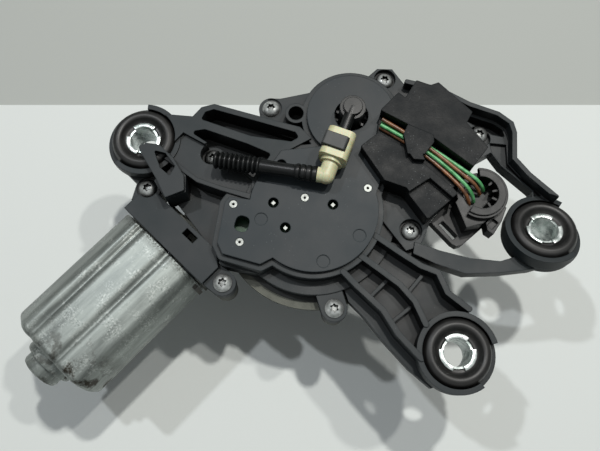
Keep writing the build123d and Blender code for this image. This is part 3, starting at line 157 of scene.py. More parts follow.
def addWorld():
    # a weak fill, and the backdrop that the camera, metal and glass see: a bright ceiling over darker walls
    world = bpy.data.worlds.new("paleRoom")
    bpy.context.scene.world = world
    world.use_nodes = True
    tree = world.node_tree
    tree.nodes.clear()
    path = addNode(tree, "ShaderNodeLightPath").outputs
    shown = path["Is Camera Ray"]
    for ray in ("Is Glossy Ray", "Is Transmission Ray"):
        shown = addNode(tree, "ShaderNodeMath", {"operation": "MAXIMUM", 0: shown, 1: path[ray]}).outputs[0]
    way = addNode(tree, "ShaderNodeTexCoord").outputs["Generated"]
    upward = addNode(tree, "ShaderNodeSeparateXYZ", {"Vector": way}).outputs["Z"]
    backdrop = laidOver(tree, room["walls"], room["ceiling"], 1.0, [(upward, room["wallTop"])])[0]
    lit = addNode(tree, "ShaderNodeBackground", {"Color": room["fill"], "Strength": room["fillStrength"]})
    seen = addNode(tree, "ShaderNodeBackground", {"Color": backdrop, "Strength": 1.0})
    both = addNode(tree, "ShaderNodeMixShader", {0: shown, 1: lit.outputs[0], 2: seen.outputs[0]})
    addNode(tree, "ShaderNodeOutputWorld", {"Surface": both.outputs[0]})
    bpy.context.scene.view_settings.view_transform = "Standard"


addCamera()
for name, lamp in lamps.items():
    addLamp(name, lamp)
addFloor("tableTop", -table["reach"], table["farEdge"], table["height"], table["colour"])
# the far sheet carries painted shade for the wall behind the table
addFloor("floorBeyond", table["farEdge"], table["reach"], table["height"] - table["beyondDrop"], table["paintedWallShade"])
addWorld()
print("stage ready")

# Materials

# what all worn surfaces share, with the painted pocket shade: spans of patterns that run from 0 to 1, and lengths in
# millimetres
wearAndShade = {"toneSpan": (0.35, 0.68), "roughFrom": 0.3, "roughTo": 0.7, "cloudDetail": 4.0, "grainDetail": 2.0,
        "noiseRoughness": 0.6, "edgeWidth": 0.6, "edgeSamples": 4, "edgeSpan": (0.995, 0.8), "pocketDepth": 14,
        "pocketSamples": 6, "pocketSpan": (0.75, 0.3), "speckMiddle": 0.02, "speckPatch": 14, "speckDetail": 3.0,
        "speckSpan": (0.5, 0.62)}


def startMaterial(name):
    material = bpy.data.materials.new(name)
    material.use_nodes = True
    tree = material.node_tree
    tree.nodes.clear()
    shader = addNode(tree, "ShaderNodeBsdfPrincipled")
    addNode(tree, "ShaderNodeOutputMaterial", {"Surface": shader.outputs[0]})
    place = addNode(tree, "ShaderNodeTexCoord").outputs["Object"]
    return material, tree, shader, place


def finish(name, look):
    # A worn surface: two tones in clouds, a grain that also lifts the surface, rubbed edges, painted shade in
    # pockets and dust. Lengths are in millimetres.
    material, tree, shader, place = startMaterial(name)
    pattern = {"Vector": place, "Roughness": wearAndShade["noiseRoughness"]}
    settings = {**pattern, "Scale": perMetre(look["patch"]), "Detail": wearAndShade["cloudDetail"]}
    clouds = addNode(tree, "ShaderNodeTexNoise", settings).outputs["Fac"]
    settings = {**pattern, "Scale": perMetre(look["grain"]), "Detail": wearAndShade["grainDetail"]}
    grain = addNode(tree, "ShaderNodeTexNoise", settings).outputs["Fac"]
    bump = {"Strength": look["lift"], "Distance": look["liftDepth"] * mm, "Height": grain}
    tone = laidOver(tree, look["dark"], look["light"], 1.0, [(clouds, wearAndShade["toneSpan"])])[0]
    if "edge" in look:
        # where the rounded normal leaves the face's own, the surface is near an edge
        settings = {"samples": wearAndShade["edgeSamples"], "Radius": wearAndShade["edgeWidth"] * mm}
        rounded = addNode(tree, "ShaderNodeBevel", settings).outputs[0]
        own = addNode(tree, "ShaderNodeNewGeometry").outputs["Normal"]
        settings = {"operation": "DOT_PRODUCT", 0: rounded, 1: own}
        match = addNode(tree, "ShaderNodeVectorMath", settings).outputs["Value"]
        spans = [(match, wearAndShade["edgeSpan"]), (clouds, wearAndShade["toneSpan"])]
        tone = laidOver(tree, tone, look["edgeColour"], look["edge"], spans)[0]
        bump["Normal"] = rounded
    if "pocket" in look:
        # painted shade: the tone goes to the pocket colour where little of the room is open above a pocket's floor
        settings = {"samples": wearAndShade["pocketSamples"], "Distance": wearAndShade["pocketDepth"] * mm}
        sky = addNode(tree, "ShaderNodeAmbientOcclusion", settings).outputs["AO"]
        tone = laidOver(tree, tone, look["pocket"], 1.0, [(sky, wearAndShade["pocketSpan"])])[0]
    if "specks" in look:
        # the middles of some Voronoi cells
        settings = {"Vector": place, "Scale": perMetre(look["speckGap"])}
        cells = addNode(tree, "ShaderNodeTexVoronoi", settings).outputs["Distance"]
        settings = {**pattern, "Scale": perMetre(wearAndShade["speckPatch"]), "Detail": wearAndShade["speckDetail"]}
        patches = addNode(tree, "ShaderNodeTexNoise", settings).outputs["Fac"]
        spans = [(patches, wearAndShade["speckSpan"]), (cells, (look["speckSize"], wearAndShade["speckMiddle"]))]
        tone = laidOver(tree, tone, look["speckColour"], look["specks"], spans)[0]
    settings = {"Value": clouds, "From Min": wearAndShade["roughFrom"], "From Max": wearAndShade["roughTo"],
                "To Min": look["roughLow"], "To Max": look["roughHigh"]}
    rough = addNode(tree, "ShaderNodeMapRange", settings).outputs[0]
    tree.links.new(tone, shader.inputs["Base Color"])
    tree.links.new(rough, shader.inputs["Roughness"])
    tree.links.new(addNode(tree, "ShaderNodeBump", bump).outputs[0], shader.inputs["Normal"])
    for socket, value in look.get("sockets", {}).items():
        shader.inputs[socket].default_value = value
    return material


# the middle of the motor's mouth, its turn in the plan in degrees, and its can's sizes in millimetres;
# cupFoot is the radius at which the end face meets the cup
motor = {"mouth": (-90.3, -60.0, 30.0), "turn": 46.4, "length": 69.0, "wall": 1.6, "lip": 0.4, "shoulder": 3.2,
         "shoulderShares": np.linspace(0.15, 1.0, 6), "cupFoot": 13.8, "footShares": (0.35, 0.7), "endDish": 0.3,
         "outlineStep": 0.35, "softening": 2.6, "sharp": 30}
motorTurn = math.radians(motor["turn"])
motorWay = np.array([math.cos(motorTurn), math.sin(motorTurn), 0.0])
motorSide = np.array([-math.sin(motorTurn), math.cos(motorTurn), 0.0])


def canFinish(name, look):
    # Zinc-plated steel that stood outside: clouds drawn out along the can, white bloom, dark pits, oily dirt by the
    # nose, and darker towards the mouth. The pattern's X runs along the can, its Y across it.
    material, tree, shader, place = startMaterial(name)
    mouth = np.array(motor["mouth"]) * mm
    shift = (-mouth @ motorWay, -mouth @ motorSide, -mouth[2])
    settings = {"Vector": place, "Location": shift, "Rotation": (0, 0, -motorTurn)}
    along = addNode(tree, "ShaderNodeMapping", settings).outputs[0]
    drawn = addNode(tree, "ShaderNodeMapping", {"Vector": along, "Scale": look["drawn"]}).outputs[0]
    part = addNode(tree, "ShaderNodeSeparateXYZ", {"Vector": along}).outputs
    patterns = []
    for spot, (size, detail) in zip((drawn, along, along, along), look["patterns"]):
        settings = {"Vector": spot, "Scale": perMetre(size), "Detail": detail, "Roughness": wearAndShade["noiseRoughness"]}
        patterns.append(addNode(tree, "ShaderNodeTexNoise", settings).outputs["Fac"])
    streaks, clouds, fine, blots = patterns
    tone = laidOver(tree, look["dark"], look["light"], 1.0, [(streaks, look["streakSpan"])])[0]
    spans = [(clouds, look["bloomClouds"]), (fine, look["bloomFine"])]
    tone, bloom = laidOver(tree, tone, look["bloomColour"], look["bloom"], spans)
    spans = [(clouds, look["pitClouds"]), (fine, look["pitFine"])]
    tone = laidOver(tree, tone, look["pitColour"], look["pits"], spans)[0]
    spans = [(part["X"], look["dirtStart"]), (blots, look["dirtBlots"]), (part["Y"], look["dirtSide"])]
    tone, dirt = laidOver(tree, tone, look["dirt"], 1.0, spans)
    # darker towards the mouth, broken up by the fine speckle
    spans = [(part["X"], look["mouthDarkeningStart"]), (fine, look["mouthDarkeningFine"])]
    tone = laidOver(tree, tone, look["mouthDarkening"], 1.0, spans)[0]
    # the steel is duller where dirt lies on the bloom
    settings = {"Value": streaks, "From Min": wearAndShade["roughFrom"], "From Max": wearAndShade["roughTo"],
                "To Min": look["roughLow"], "To Max": look["roughHigh"]}
    rough = addNode(tree, "ShaderNodeMapRange", settings).outputs[0]
    dull = addNode(tree, "ShaderNodeMath", {"operation": "MULTIPLY", 0: dirt, 1: bloom}).outputs[0]
    rough = addNode(tree, "ShaderNodeMath", {"operation": "ADD", 0: rough, 1: dull}).outputs[0]
    bump = {"Strength": look["lift"], "Distance": look["liftDepth"] * mm, "Height": fine}
    tree.links.new(tone, shader.inputs["Base Color"])
    tree.links.new(rough, shader.inputs["Roughness"])
    tree.links.new(addNode(tree, "ShaderNodeBump", bump).outputs[0], shader.inputs["Normal"])
    shader.inputs["Metallic"].default_value = look["metallic"]
    return material


materials = {
    # glass-filled polyamide, spark-eroded mould: satin charcoal with pale rubbed edges, and painted shade in its
    # pockets
    "frame_plastic": finish("polyamideFrame", {
        "dark": "#11181b", "light": "#1a2225", "patch": 22, "grain": 0.5, "lift": 0.25, "liftDepth": 0.1,
        "roughLow": 0.46, "roughHigh": 0.6, "edge": 0.5, "edgeColour": "#4a5153", "pocket": "#030404",
        "specks": 0.35, "speckGap": 1.8, "speckSize": 0.16, "speckColour": "#6d7375",
        "sockets": {"Specular IOR Level": 0.35}}),
    # filled polypropylene, polished mould: flat dark grey with a faint blue tint
    "cover_plastic": finish("polypropyleneCover", {
        "dark": "#10181c", "light": "#192328", "patch": 34, "grain": 0.4, "lift": 0.12, "liftDepth": 0.06,
        "roughLow": 0.46, "roughHigh": 0.58, "edge": 0.5, "edgeColour": "#4f575a",
        "specks": 0.4, "speckGap": 1.8, "speckSize": 0.16, "speckColour": "#7a8082",
        "sockets": {"Specular IOR Level": 0.35}}),
    # glass-filled polyamide, coarse mould: near black with dust in its texture, and painted shade in its pockets
    "module_plastic": finish("polyamideModule", {
        "dark": "#030608", "light": "#090e11", "patch": 8, "grain": 0.8, "lift": 0.5, "liftDepth": 0.2,
        "roughLow": 0.45, "roughHigh": 0.62, "edge": 0.25, "edgeColour": "#3c4143", "pocket": "#010202",
        "specks": 0.8, "speckGap": 1.3, "speckSize": 0.2, "speckColour": "#888e90",
        "sockets": {"Specular IOR Level": 0.2}}),
    # black polyamide of the plug socket, with painted shade in its pockets
    "socket_plastic": finish("polyamideSocket", {
        "dark": "#060708", "light": "#0f1112", "patch": 12, "grain": 0.5, "lift": 0.2, "liftDepth": 0.1,
        "roughLow": 0.4, "roughHigh": 0.52, "edge": 0.4, "edgeColour": "#3f4345", "pocket": "#020303",
        "sockets": {"Specular IOR Level": 0.35}}),
    # brown-grey polyester of the brush holder
    "inner_plastic": finish("polyesterInner", {
        "dark": "#3a3733", "light": "#4a463f", "patch": 8, "grain": 0.5, "lift": 0.15, "liftDepth": 0.1,
        "roughLow": 0.4, "roughHigh": 0.55}),
    # black acetal, smooth
    "nozzle_plastic": finish("acetalNozzle", {
        "dark": "#040505", "light": "#0b0d0e", "patch": 5, "grain": 0.4, "lift": 0.1, "liftDepth": 0.05,
        "roughLow": 0.3, "roughHigh": 0.42, "edge": 0.3, "edgeColour": "#3c4041",
        "sockets": {"Specular IOR Level": 0.35}}),
    # black polyolefin hose, slightly shiny
    "hose_plastic": finish("softPolymerHose", {
        "dark": "#040505", "light": "#0d0f10", "patch": 4, "grain": 0.35, "lift": 0.1, "liftDepth": 0.05,
        "roughLow": 0.26, "roughHigh": 0.4, "sockets": {"Specular IOR Level": 0.4}}),
    # natural acetal, gone cream with age: light goes a little way in
    "coupling_plastic": finish("naturalAcetal", {
        "dark": "#bdbb93", "light": "#d2d1ae", "patch": 5, "grain": 0.4, "lift": 0.08, "liftDepth": 0.05,
        "roughLow": 0.34, "roughHigh": 0.46, "sockets": {"Subsurface Weight": 0.2, "Subsurface Scale": 0.001}}),
    # dark grey acetal of the sliding clip, rubbed at its edges
    "clip_plastic": finish("acetalClip", {
        "dark": "#2a2c2c", "light": "#383a3a", "patch": 5, "grain": 0.5, "lift": 0.2, "liftDepth": 0.08,
        "roughLow": 0.48, "roughHigh": 0.6, "edge": 0.4, "edgeColour": "#666a6a"}),
    # die-cast aluminium, dulled by salt: matt grey-green
    "cast_aluminium": finish("dieCastAluminium", {
        "dark": "#3f403b", "light": "#5f6059", "patch": 8, "grain": 0.8, "lift": 0.35, "liftDepth": 0.15,
        "roughLow": 0.5, "roughHigh": 0.68, "sockets": {"Metallic": 0.75}}),
    # Deep-drawn steel with a zinc plate, gone mottled outside. The patterns are the streaks, the clouds,
    # the speckle and the blots, as size and detail; the last three spans are metres along and across.
    "zinc_can": canFinish("zincPlatedCan", {
        "dark": "#6c716e", "light": "#969c98", "drawn": (0.16, 1.0, 1.0),
        "patterns": [(5, 5.0), (9, 4.0), (0.9, 3.0), (7, 5.0)], "bloom": 0.8, "bloomColour": "#b9bdb9",
        "pits": 0.8, "pitColour": "#525955", "dirt": "#2e2a22", "mouthDarkening": "#3a3c38", "lift": 0.3, "liftDepth": 0.12,
        "roughLow": 0.36, "roughHigh": 0.52, "metallic": 0.7, "streakSpan": (0.36, 0.66),
        "bloomFine": (0.5, 0.62), "bloomClouds": (0.46, 0.66), "pitFine": (0.4, 0.33), "pitClouds": (0.5, 0.6),
        "dirtBlots": (0.5, 0.6), "mouthDarkeningFine": (0.42, 0.58), "dirtStart": (-0.048, -0.062),
        "dirtSide": (0.012, -0.012), "mouthDarkeningStart": (-0.005, -0.0005)}),
    # bright zinc-plated screws with painted shade in the drive
    "zinc_screws": finish("brightZincScrew", {
        "dark": "#a2a6a4", "light": "#dcdedd", "patch": 2, "grain": 0.4, "lift": 0.1, "liftDepth": 0.04,
        "roughLow": 0.28, "roughHigh": 0.44, "pocket": "#141514", "sockets": {"Metallic": 0.7}}),
    # hot-dip zinc with its spangle: bright patches a few millimetres wide
    "zinc_sleeve": finish("spangledZinc", {
        "dark": "#9aa6a2", "light": "#eef2f0", "patch": 3.5, "grain": 0.9, "lift": 0.25, "liftDepth": 0.1,
        "roughLow": 0.2, "roughHigh": 0.42, "sockets": {"Metallic": 0.75}}),
    # turned and ground steel of shafts, pins and rings
    "plain_steel": finish("turnedSteel", {
        "dark": "#8a8c8d", "light": "#b3b5b6", "patch": 5, "grain": 0.5, "lift": 0.1, "liftDepth": 0.04,
        "roughLow": 0.25, "roughHigh": 0.4, "sockets": {"Metallic": 1.0}}),
    # electrical steel sheets with their dark oxide
    "lamination_steel": finish("stackedLaminations", {
        "dark": "#4a4b4d", "light": "#6a6b6d", "patch": 6, "grain": 0.5, "lift": 0.3, "liftDepth": 0.1,
        "roughLow": 0.4, "roughHigh": 0.55, "sockets": {"Metallic": 0.8}}),
    # ceramic magnets
    "ferrite": finish("sinteredFerrite", {
        "dark": "#2b2b2d", "light": "#3a3a3c", "patch": 6, "grain": 0.4, "lift": 0.2, "liftDepth": 0.08,
        "roughLow": 0.5, "roughHigh": 0.65}),
    # oil-filled bronze bushes
    "sintered_bronze": finish("sinteredBronze", {
        "dark": "#8a6234", "light": "#a98050", "patch": 4, "grain": 0.3, "lift": 0.3, "liftDepth": 0.08,
        "roughLow": 0.38, "roughHigh": 0.5, "sockets": {"Metallic": 0.9}}),
    # enamelled winding wire
    "copper": finish("enamelledCopper", {
        "dark": "#9a4a24", "light": "#c06a3c", "patch": 3, "grain": 0.6, "lift": 0.4, "liftDepth": 0.15,
        "roughLow": 0.25, "roughHigh": 0.4, "sockets": {"Metallic": 0.85}}),
    # pressed carbon and copper powder of the brushes
    "carbon": finish("pressedCarbon", {
        "dark": "#1c1c1d", "light": "#2a2a2b", "patch": 3, "grain": 0.4, "lift": 0.2, "liftDepth": 0.08,
        "roughLow": 0.45, "roughHigh": 0.6}),
    # natural polyamide of the worm wheel: cream, a little translucent
    "gear_nylon": finish("naturalPolyamideGear", {
        "dark": "#bdb49c", "light": "#d2cab4", "patch": 8, "grain": 0.4, "lift": 0.1, "liftDepth": 0.05,
        "roughLow": 0.35, "roughHigh": 0.5, "sockets": {"Subsurface Weight": 0.15, "Subsurface Scale": 0.001}}),
    # epoxy-glass board under green lacquer
    "board_laminate": finish("epoxyGlassBoard", {
        "dark": "#173a22", "light": "#20502f", "patch": 5, "grain": 0.5, "lift": 0.1, "liftDepth": 0.04,
        "roughLow": 0.3, "roughHigh": 0.42}),
    # tin-plated brass pins and rivets, dulled
    "tinned_contacts": finish("tinnedBrass", {
        "dark": "#6d706c", "light": "#b9bcb8", "patch": 1.0, "grain": 0.3, "lift": 0.1, "liftDepth": 0.03,
        "roughLow": 0.4, "roughHigh": 0.55, "sockets": {"Metallic": 0.6}}),
    # nitrile rubber gaskets and seals
    "gasket_rubber": finish("nitrileGasket", {
        "dark": "#151616", "light": "#202222", "patch": 5, "grain": 0.4, "lift": 0.2, "liftDepth": 0.08,
        "roughLow": 0.6, "roughHigh": 0.75}),
    # ethylene-propylene rubber mounts: black with a brownish bloom, smoother where rubbed
    "mount_rubber": finish("bloomedRubber", {
        "dark": "#0f0f0f", "light": "#1f1e1d", "patch": 9, "grain": 0.6, "lift": 0.2, "liftDepth": 0.1,
        "roughLow": 0.38, "roughHigh": 0.56}),
    # soft vinyl insulation, green and brown
    "green_insulation": finish("greenWireInsulation", {
        "dark": "#3c8a4c", "light": "#76c489", "patch": 3, "grain": 0.4, "lift": 0.1, "liftDepth": 0.04,
        "roughLow": 0.28, "roughHigh": 0.4}),
    "brown_insulation": finish("brownWireInsulation", {
        "dark": "#553b2a", "light": "#97643f", "patch": 4, "grain": 0.4, "lift": 0.1, "liftDepth": 0.04,
        "roughLow": 0.28, "roughHigh": 0.4}),
}
for node, slot in slotOf.items():
    nodes[node].material_slots[0].material = materials[slot]
print("materials ready")

# Surfaces


def dress(piece, *nodeNames):
    # the piece stands for those nodes, moves with their body and takes their slot's material
    first = nodeNames[0]
    piece.data.materials.clear()
    piece.data.materials.append(materials[slotOf[first]])
    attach(piece, bodyOf[first])
    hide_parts(*nodeNames)
    return piece


def placed(pieceName, data):
    piece = bpy.data.objects.new(pieceName, data)
    bpy.context.collection.objects.link(piece)
    return piece


def smoothed(mesh, sharp):
    # smooth faces, with the edges that turn by more than the angle kept sharp
    mesh.shade_smooth()
    mesh.set_sharp_from_angle(angle=math.radians(sharp))


def roundedLoop(corners, spacing, width):
    # A closed outline in even steps along the straight runs between the corners. Its corners are
    # rounded: each point is the mean of its neighbours within the width.
    line = np.array(list(corners) + [corners[0]], float)
    travel = np.concatenate([[0], np.cumsum(np.hypot(*np.diff(line, axis=0).T))])
    steps = np.linspace(0, travel[-1], int(travel[-1] / spacing), endpoint=False)
    loop = np.stack([np.interp(steps, travel, line[:, part]) for part in range(2)], axis=1)
    half = round(width / spacing / 2)
    return np.mean([np.roll(loop, shift, axis=0) for shift in range(-half, half + 1)], axis=0)


def grid(points, closedRows=False):
    # points[row, column] joined by four-sided faces; every row closes on itself, and rows too if asked
    rows, columns = points.shape[:2]
    index = np.arange(rows * columns).reshape(rows, columns)
    if closedRows:
        index = np.concatenate([index, index[:1]])
    after = np.roll(index, -1, axis=1)
    faces = np.stack([index[:-1], after[:-1], after[1:], index[1:]], axis=-1).reshape(-1, 4)
    return points.reshape(-1, 3), faces


def basisAt(origin, way=(0, 0, 1)):
    # origin and three unit axes, the third along way
    third = np.array(way, float) / np.linalg.norm(way)
    helper = np.array([1.0, 0, 0]) if abs(third[0]) < 0.9 else np.array([0, 1.0, 0])
    second = np.cross(third, helper)
    second /= np.linalg.norm(second)
    return np.array(origin, float), np.cross(second, third), second, third


def angles(columns):
    return np.linspace(0, fullTurn, columns, endpoint=False)


def turned(basis, radii, heights, closedRows=False):
    # a turned surface: radius r and height z at angle t stand at origin + r cos t X + r sin t Y + z Z
    origin, first, second, third = basis
    angle = angles(radii.shape[1])
    across, up = radii * np.cos(angle), radii * np.sin(angle)
    points = origin + across[..., None] * first + up[..., None] * second + heights[..., None] * third
    return grid(points * mm, closedRows)


def spun(basis, profile, columns):
    # a closed profile of (radius, height) pairs turned about the third axis
    line = np.array(profile, float)
    spread = np.ones((1, columns))
    return turned(basis, line[:, :1] * spread, line[:, 1:] * spread, True)


def build(pieceName, surfaces, sharp):
    # one mesh from the surfaces: poles and seams merged, faces outwards
    starts = np.cumsum([0] + [len(points) for points, faces in surfaces[:-1]])
    points = np.concatenate([points for points, faces in surfaces])
    faces = np.concatenate([surface[1] + start for surface, start in zip(surfaces, starts)])
    mesh = bpy.data.meshes.new(pieceName)
    mesh.from_pydata(points.tolist(), [], faces.tolist())
    work = bmesh.new()
    work.from_mesh(mesh)
    bmesh.ops.remove_doubles(work, verts=work.verts, dist=0.001 * mm)
    bmesh.ops.recalc_face_normals(work, faces=work.faces)
    work.to_mesh(mesh)
    work.free()
    smoothed(mesh, sharp)
    return placed(pieceName, mesh)


# Moulded pieces: copies of their nodes' own forms, with softened edges or a corrected outline

softEdge = {"weld": 0.005, "sharp": 38, "radius": 0.35, "steps": 2}
frameEdge = {"weld": 0.005, "sharp": 32, "reach": 8.0}
# The frame's outer rib runs closer to the plug module: x, y and the shift there, in millimetres.
# The last two hold the ear of the module's screw.
ribMoves = [(44.0, 18.4, -0.6, -2.6), (51.0, 16.0, -1.0, -6.0), (57.8, 13.5, -0.8, -7.6), (65.0, 11.8, -0.6, -8.6),
            (71.4, 9.7, -0.8, -9.6), (75.5, 6.5, -1.8, -8.4), (77.9, 3.3, -2.6, -7.6), (79.0, -3.8, -2.6, -4.2),
            (78.4, -12.0, -2.4, -1.0), (77.5, -22.0, -1.6, 0.8), (76.0, -3.4, -1.2, -4.6), (68.0, -3.4, 0.0, -4.8),
            (60.5, -1.2, 0.0, 0.0), (62.5, -6.1, 0.0, 0.0)]


def nodeCopy(pieceName, nodeName, weld):
    # the node's own faces in a new mesh, with its points welded
    source = nodes[nodeName].data
    mesh = bpy.data.meshes.new(pieceName)
    mesh.from_pydata([tuple(vertex.co) for vertex in source.vertices], [],
                     [tuple(face.vertices) for face in source.polygons])
    work = bmesh.new()
    work.from_mesh(mesh)
    bmesh.ops.remove_doubles(work, verts=work.verts, dist=weld * mm)
    work.to_mesh(mesh)
    work.free()
    return mesh


def shifted(mesh, moves, reach):
    # Points move with the spots near them, by weights exp(-(distance / reach) ^ 2) whose sum counts
    # as at least 1, so that the shift fades away outside the spots.
    flat = np.empty(len(mesh.vertices) * 3)
    mesh.vertices.foreach_get("co", flat)
    points = flat.reshape(-1, 3)
    spots = np.array(moves) * mm
    away = np.linalg.norm(points[:, None, :2] - spots[None, :, :2], axis=2)
    weight = np.exp(-(away / (reach * mm)) ** 2)
    points[:, :2] += weight @ spots[:, 2:] / np.maximum(weight.sum(axis=1), 1.0)[:, None]
    mesh.vertices.foreach_set("co", points.ravel())


def levelled(piece):
    # large flat faces keep their own shading beside small rounded ones
    level = piece.modifiers.new("levelFaces", "WEIGHTED_NORMAL")
    level.keep_sharp = True


def frameMoulding():
    mesh = nodeCopy("frameMoulding", "housing_frame", frameEdge["weld"])
    shifted(mesh, ribMoves, frameEdge["reach"])
    smoothed(mesh, frameEdge["sharp"])
    piece = placed("frameMoulding", mesh)
    levelled(piece)
    return dress(piece, "housing_frame")


def softMoulding(pieceName, nodeName):
    mesh = nodeCopy(pieceName, nodeName, softEdge["weld"])
    smoothed(mesh, softEdge["sharp"])
    piece = placed(pieceName, mesh)
    rounding = piece.modifiers.new("roundedEdges", "BEVEL")
    rounding.width = softEdge["radius"] * mm
    rounding.segments = softEdge["steps"]
    rounding.limit_method = "ANGLE"
    rounding.angle_limit = math.radians(softEdge["sharp"])
    levelled(piece)
    return dress(piece, nodeName)


frameMoulding()
softMoulding("moduleMoulding", "module_cover")
softMoulding("couplingMoulding", "hose_coupling")
softMoulding("clipMoulding", "coupling_clip")
softMoulding("nozzleMoulding", "water_nozzle")
print("moulded copies ready")

# Motor can: a ridged section carried along the motor, with a rounded shoulder, a cup and a nose

# upper half of the section as (across, high): side facet, crest, valley, flat top, valley, crest and
# flat, side strip; the lower half is the same turned half round
canSection = [(25.75, 5.0), (17.25, 16.6), (14.75, 18.5), (12.25, 18.6), (9.95, 17.0), (7.35, 18.9),
              (-5.15, 19.0), (-7.15, 17.0), (-9.35, 18.4), (-14.25, 18.1), (-19.75, 17.2), (-23.55, 12.5),
              (-25.75, 5.0)]
# the rounded lip at the mouth: (inset from the outer section, distance from the mouth)
canLip = [(1.2, 0.1), (0.4, 0.1)]
# (radius, distance from the end face) down the cup, its face, the nose and the dimple in the nose
canEnd = [(13.6, -0.3), (12.8, -0.8), (12.4, -1.8), (12.4, -3.9), (12.0, -4.9), (11.0, -5.3), (10.4, -5.3),
          (9.6, -5.7), (9.4, -6.5), (9.4, -9.3), (8.9, -10.5), (7.6, -11.1), (3.4, -11.1), (2.6, -10.6),
          (0.0, -10.6)]


def canShell():
    lower = [(-across, -high) for across, high in canSection]
    section = roundedLoop(canSection + lower, motor["outlineStep"], motor["softening"])
    angle = np.arctan2(section[:, 1], section[:, 0])
    circle = np.stack([np.cos(angle), np.sin(angle)], axis=1)
    half = np.max(canSection, axis=0)
    length, wall, bend = motor["length"], motor["wall"], motor["shoulder"]

    def inset(amount):
        # the section drawn in on every side: section (1 - amount / half its size)
        return section * (1 - amount / half)

    # rows from the pole inside, along the inner wall, round the lip and back along the outside
    rows = [(section * 0, wall - length), (inset(bend + wall), wall - length), (inset(wall), bend - length),
            (inset(wall), -motor["lip"])]
    rows += [(inset(amount), forward) for amount, forward in canLip]
    rows += [(section, forward) for forward in (-motor["lip"], -length / 2, bend - length)]
    for share in motor["shoulderShares"]:
        # the shoulder is a quarter circle: inset by bend (1 - cos a), back by bend sin a
        sweep = share * math.pi / 2
        rows.append((inset(bend * (1 - math.cos(sweep))), -length + bend * (1 - math.sin(sweep))))
    for share in motor["footShares"]:
        # the end face goes over from the section to the cup's circle
        ring = inset(bend) * (1 - share) + circle * motor["cupFoot"] * share
        rows.append((ring, -length - motor["endDish"] * share))
    rows += [(circle * radius, forward - length) for radius, forward in canEnd]
    flat = np.stack([row for row, forward in rows])
    forward = np.array([forward for row, forward in rows])[:, None, None]
    upward = np.array([0, 0, 1.0])
    points = np.array(motor["mouth"]) + flat[..., :1] * motorSide + flat[..., 1:] * upward + forward * motorWay
    return dress(build("canShell", [grid(points * mm)], motor["sharp"]), "motor_can")


canShell()

# Rubber mounts and their spacer tubes

leanAngle = math.radians(16)
eyes = {
    "left": basisAt((-98.7, -11.0, 0.0)),
    "bottom": basisAt((43.4, -110.4, 0.0)),
    "right": basisAt((86.7, -70.136, 2.169), (0, math.sin(leanAngle), math.cos(leanAngle))),
}
# (radius, height): the bore, the foot, the groove for the frame's plate, and the rolled lip on top
mount = {"profile": [(7.03, 39.6), (8.63, 39.0), (13.4, 39.0), (15.0, 41.4), (15.0, 44.45), (11.2, 44.45),
                     (11.2, 48.55), (15.0, 48.55), (15.1, 52.4), (14.0, 55.1), (12.1, 56.0), (10.6, 55.6),
                     (9.6, 54.0), (8.43, 53.0), (7.03, 53.1)],
         "spacing": 0.3, "softening": 1.2, "columns": 96, "sharp": 60}
# (radius, height): the bore, the outside and the rim on top, which has three notches
tube = {"profile": [(6.0, 38.0), (6.8, 38.0), (7.0, 38.3), (7.0, 52.5), (7.0, 53.3), (7.9, 53.5), (8.2, 53.8),
                    (8.1, 54.2), (7.7, 54.4), (6.6, 54.4), (6.2, 54.25), (6.0, 53.8)],
        "rimLow": 53.4, "notches": 3, "firstNotch": math.pi / 6, "notchAngle": 0.3, "notchEdge": 0.06,
        "notchIn": 1.3, "notchDown": 1.3, "columns": 144, "sharp": 40}


def rubberMount(side):
    # the profile with rounded corners, turned about the eye's axis
    profile = roundedLoop(mount["profile"], mount["spacing"], mount["softening"])
    surface = spun(eyes[side], profile, mount["columns"])
    return dress(build(side + "MountRubber", [surface], mount["sharp"]), side + "_grommet")


def spacerTube(side):
    # at each notch the rim draws in and drops by 1 - s^2 (3 - 2 s), where s goes from 0 to 1 over its edge
    profile = np.array(tube["profile"])
    rim, top = profile.max(axis=0)
    pitch = fullTurn / tube["notches"]
    away = np.abs((angles(tube["columns"]) - tube["firstNotch"] + pitch / 2) % pitch - pitch / 2)
    edge = np.clip((away - tube["notchAngle"]) / tube["notchEdge"], 0, 1)
    notch = 1 - edge ** 2 * (3 - 2 * edge)
    radii = np.minimum(profile[:, :1], rim - notch * tube["notchIn"])
    heights = profile[:, 1:] * np.ones((1, tube["columns"]))
    dropped = np.minimum(heights, top - notch * tube["notchDown"])
    heights = np.where(heights > tube["rimLow"], dropped, heights)
    surface = turned(eyes[side], radii, heights, True)
    return dress(build(side + "SpacerTube", [surface], tube["sharp"]), side + "_sleeve")


for side in eyes:
    rubberMount(side)
    spacerTube(side)
print("can and mounts ready")

# Screws: a domed head over a flange, with a six-lobe recess

screw = {"seat": 47.5, "head": 4.25, "domeEdge": 4.1, "domeShares": (0.3, 0.6, 0.85, 1.0), "flange": 0.55,
         "flangeFoot": 0.08, "flangeCorner": 0.1, "dome": 1.95, "domePower": 2.4, "shank": 2.3, "point": 0.6,
         "recessMean": 1.7, "recessWave": 0.3, "lobes": 6, "recessFloor": 0.3, "recessTaper": 0.12,
         "recessLip": 0.1, "lipDrop": 0.15, "frameLength": 12.0, "frameTurn": 0.7, "moduleLength": 5.0,
         "moduleTurn": 0.4, "columns": 48, "sharp": 34}
framePlaces = [(-38.6, 7.8), (17.7, 23.1), (-66.0, -18.5), (26.7, -54.7), (-9.1, -90.6), (-96.4, -33.7),
               (-59.5, -79.0)]
modulePlace = (62.5, -6.1)


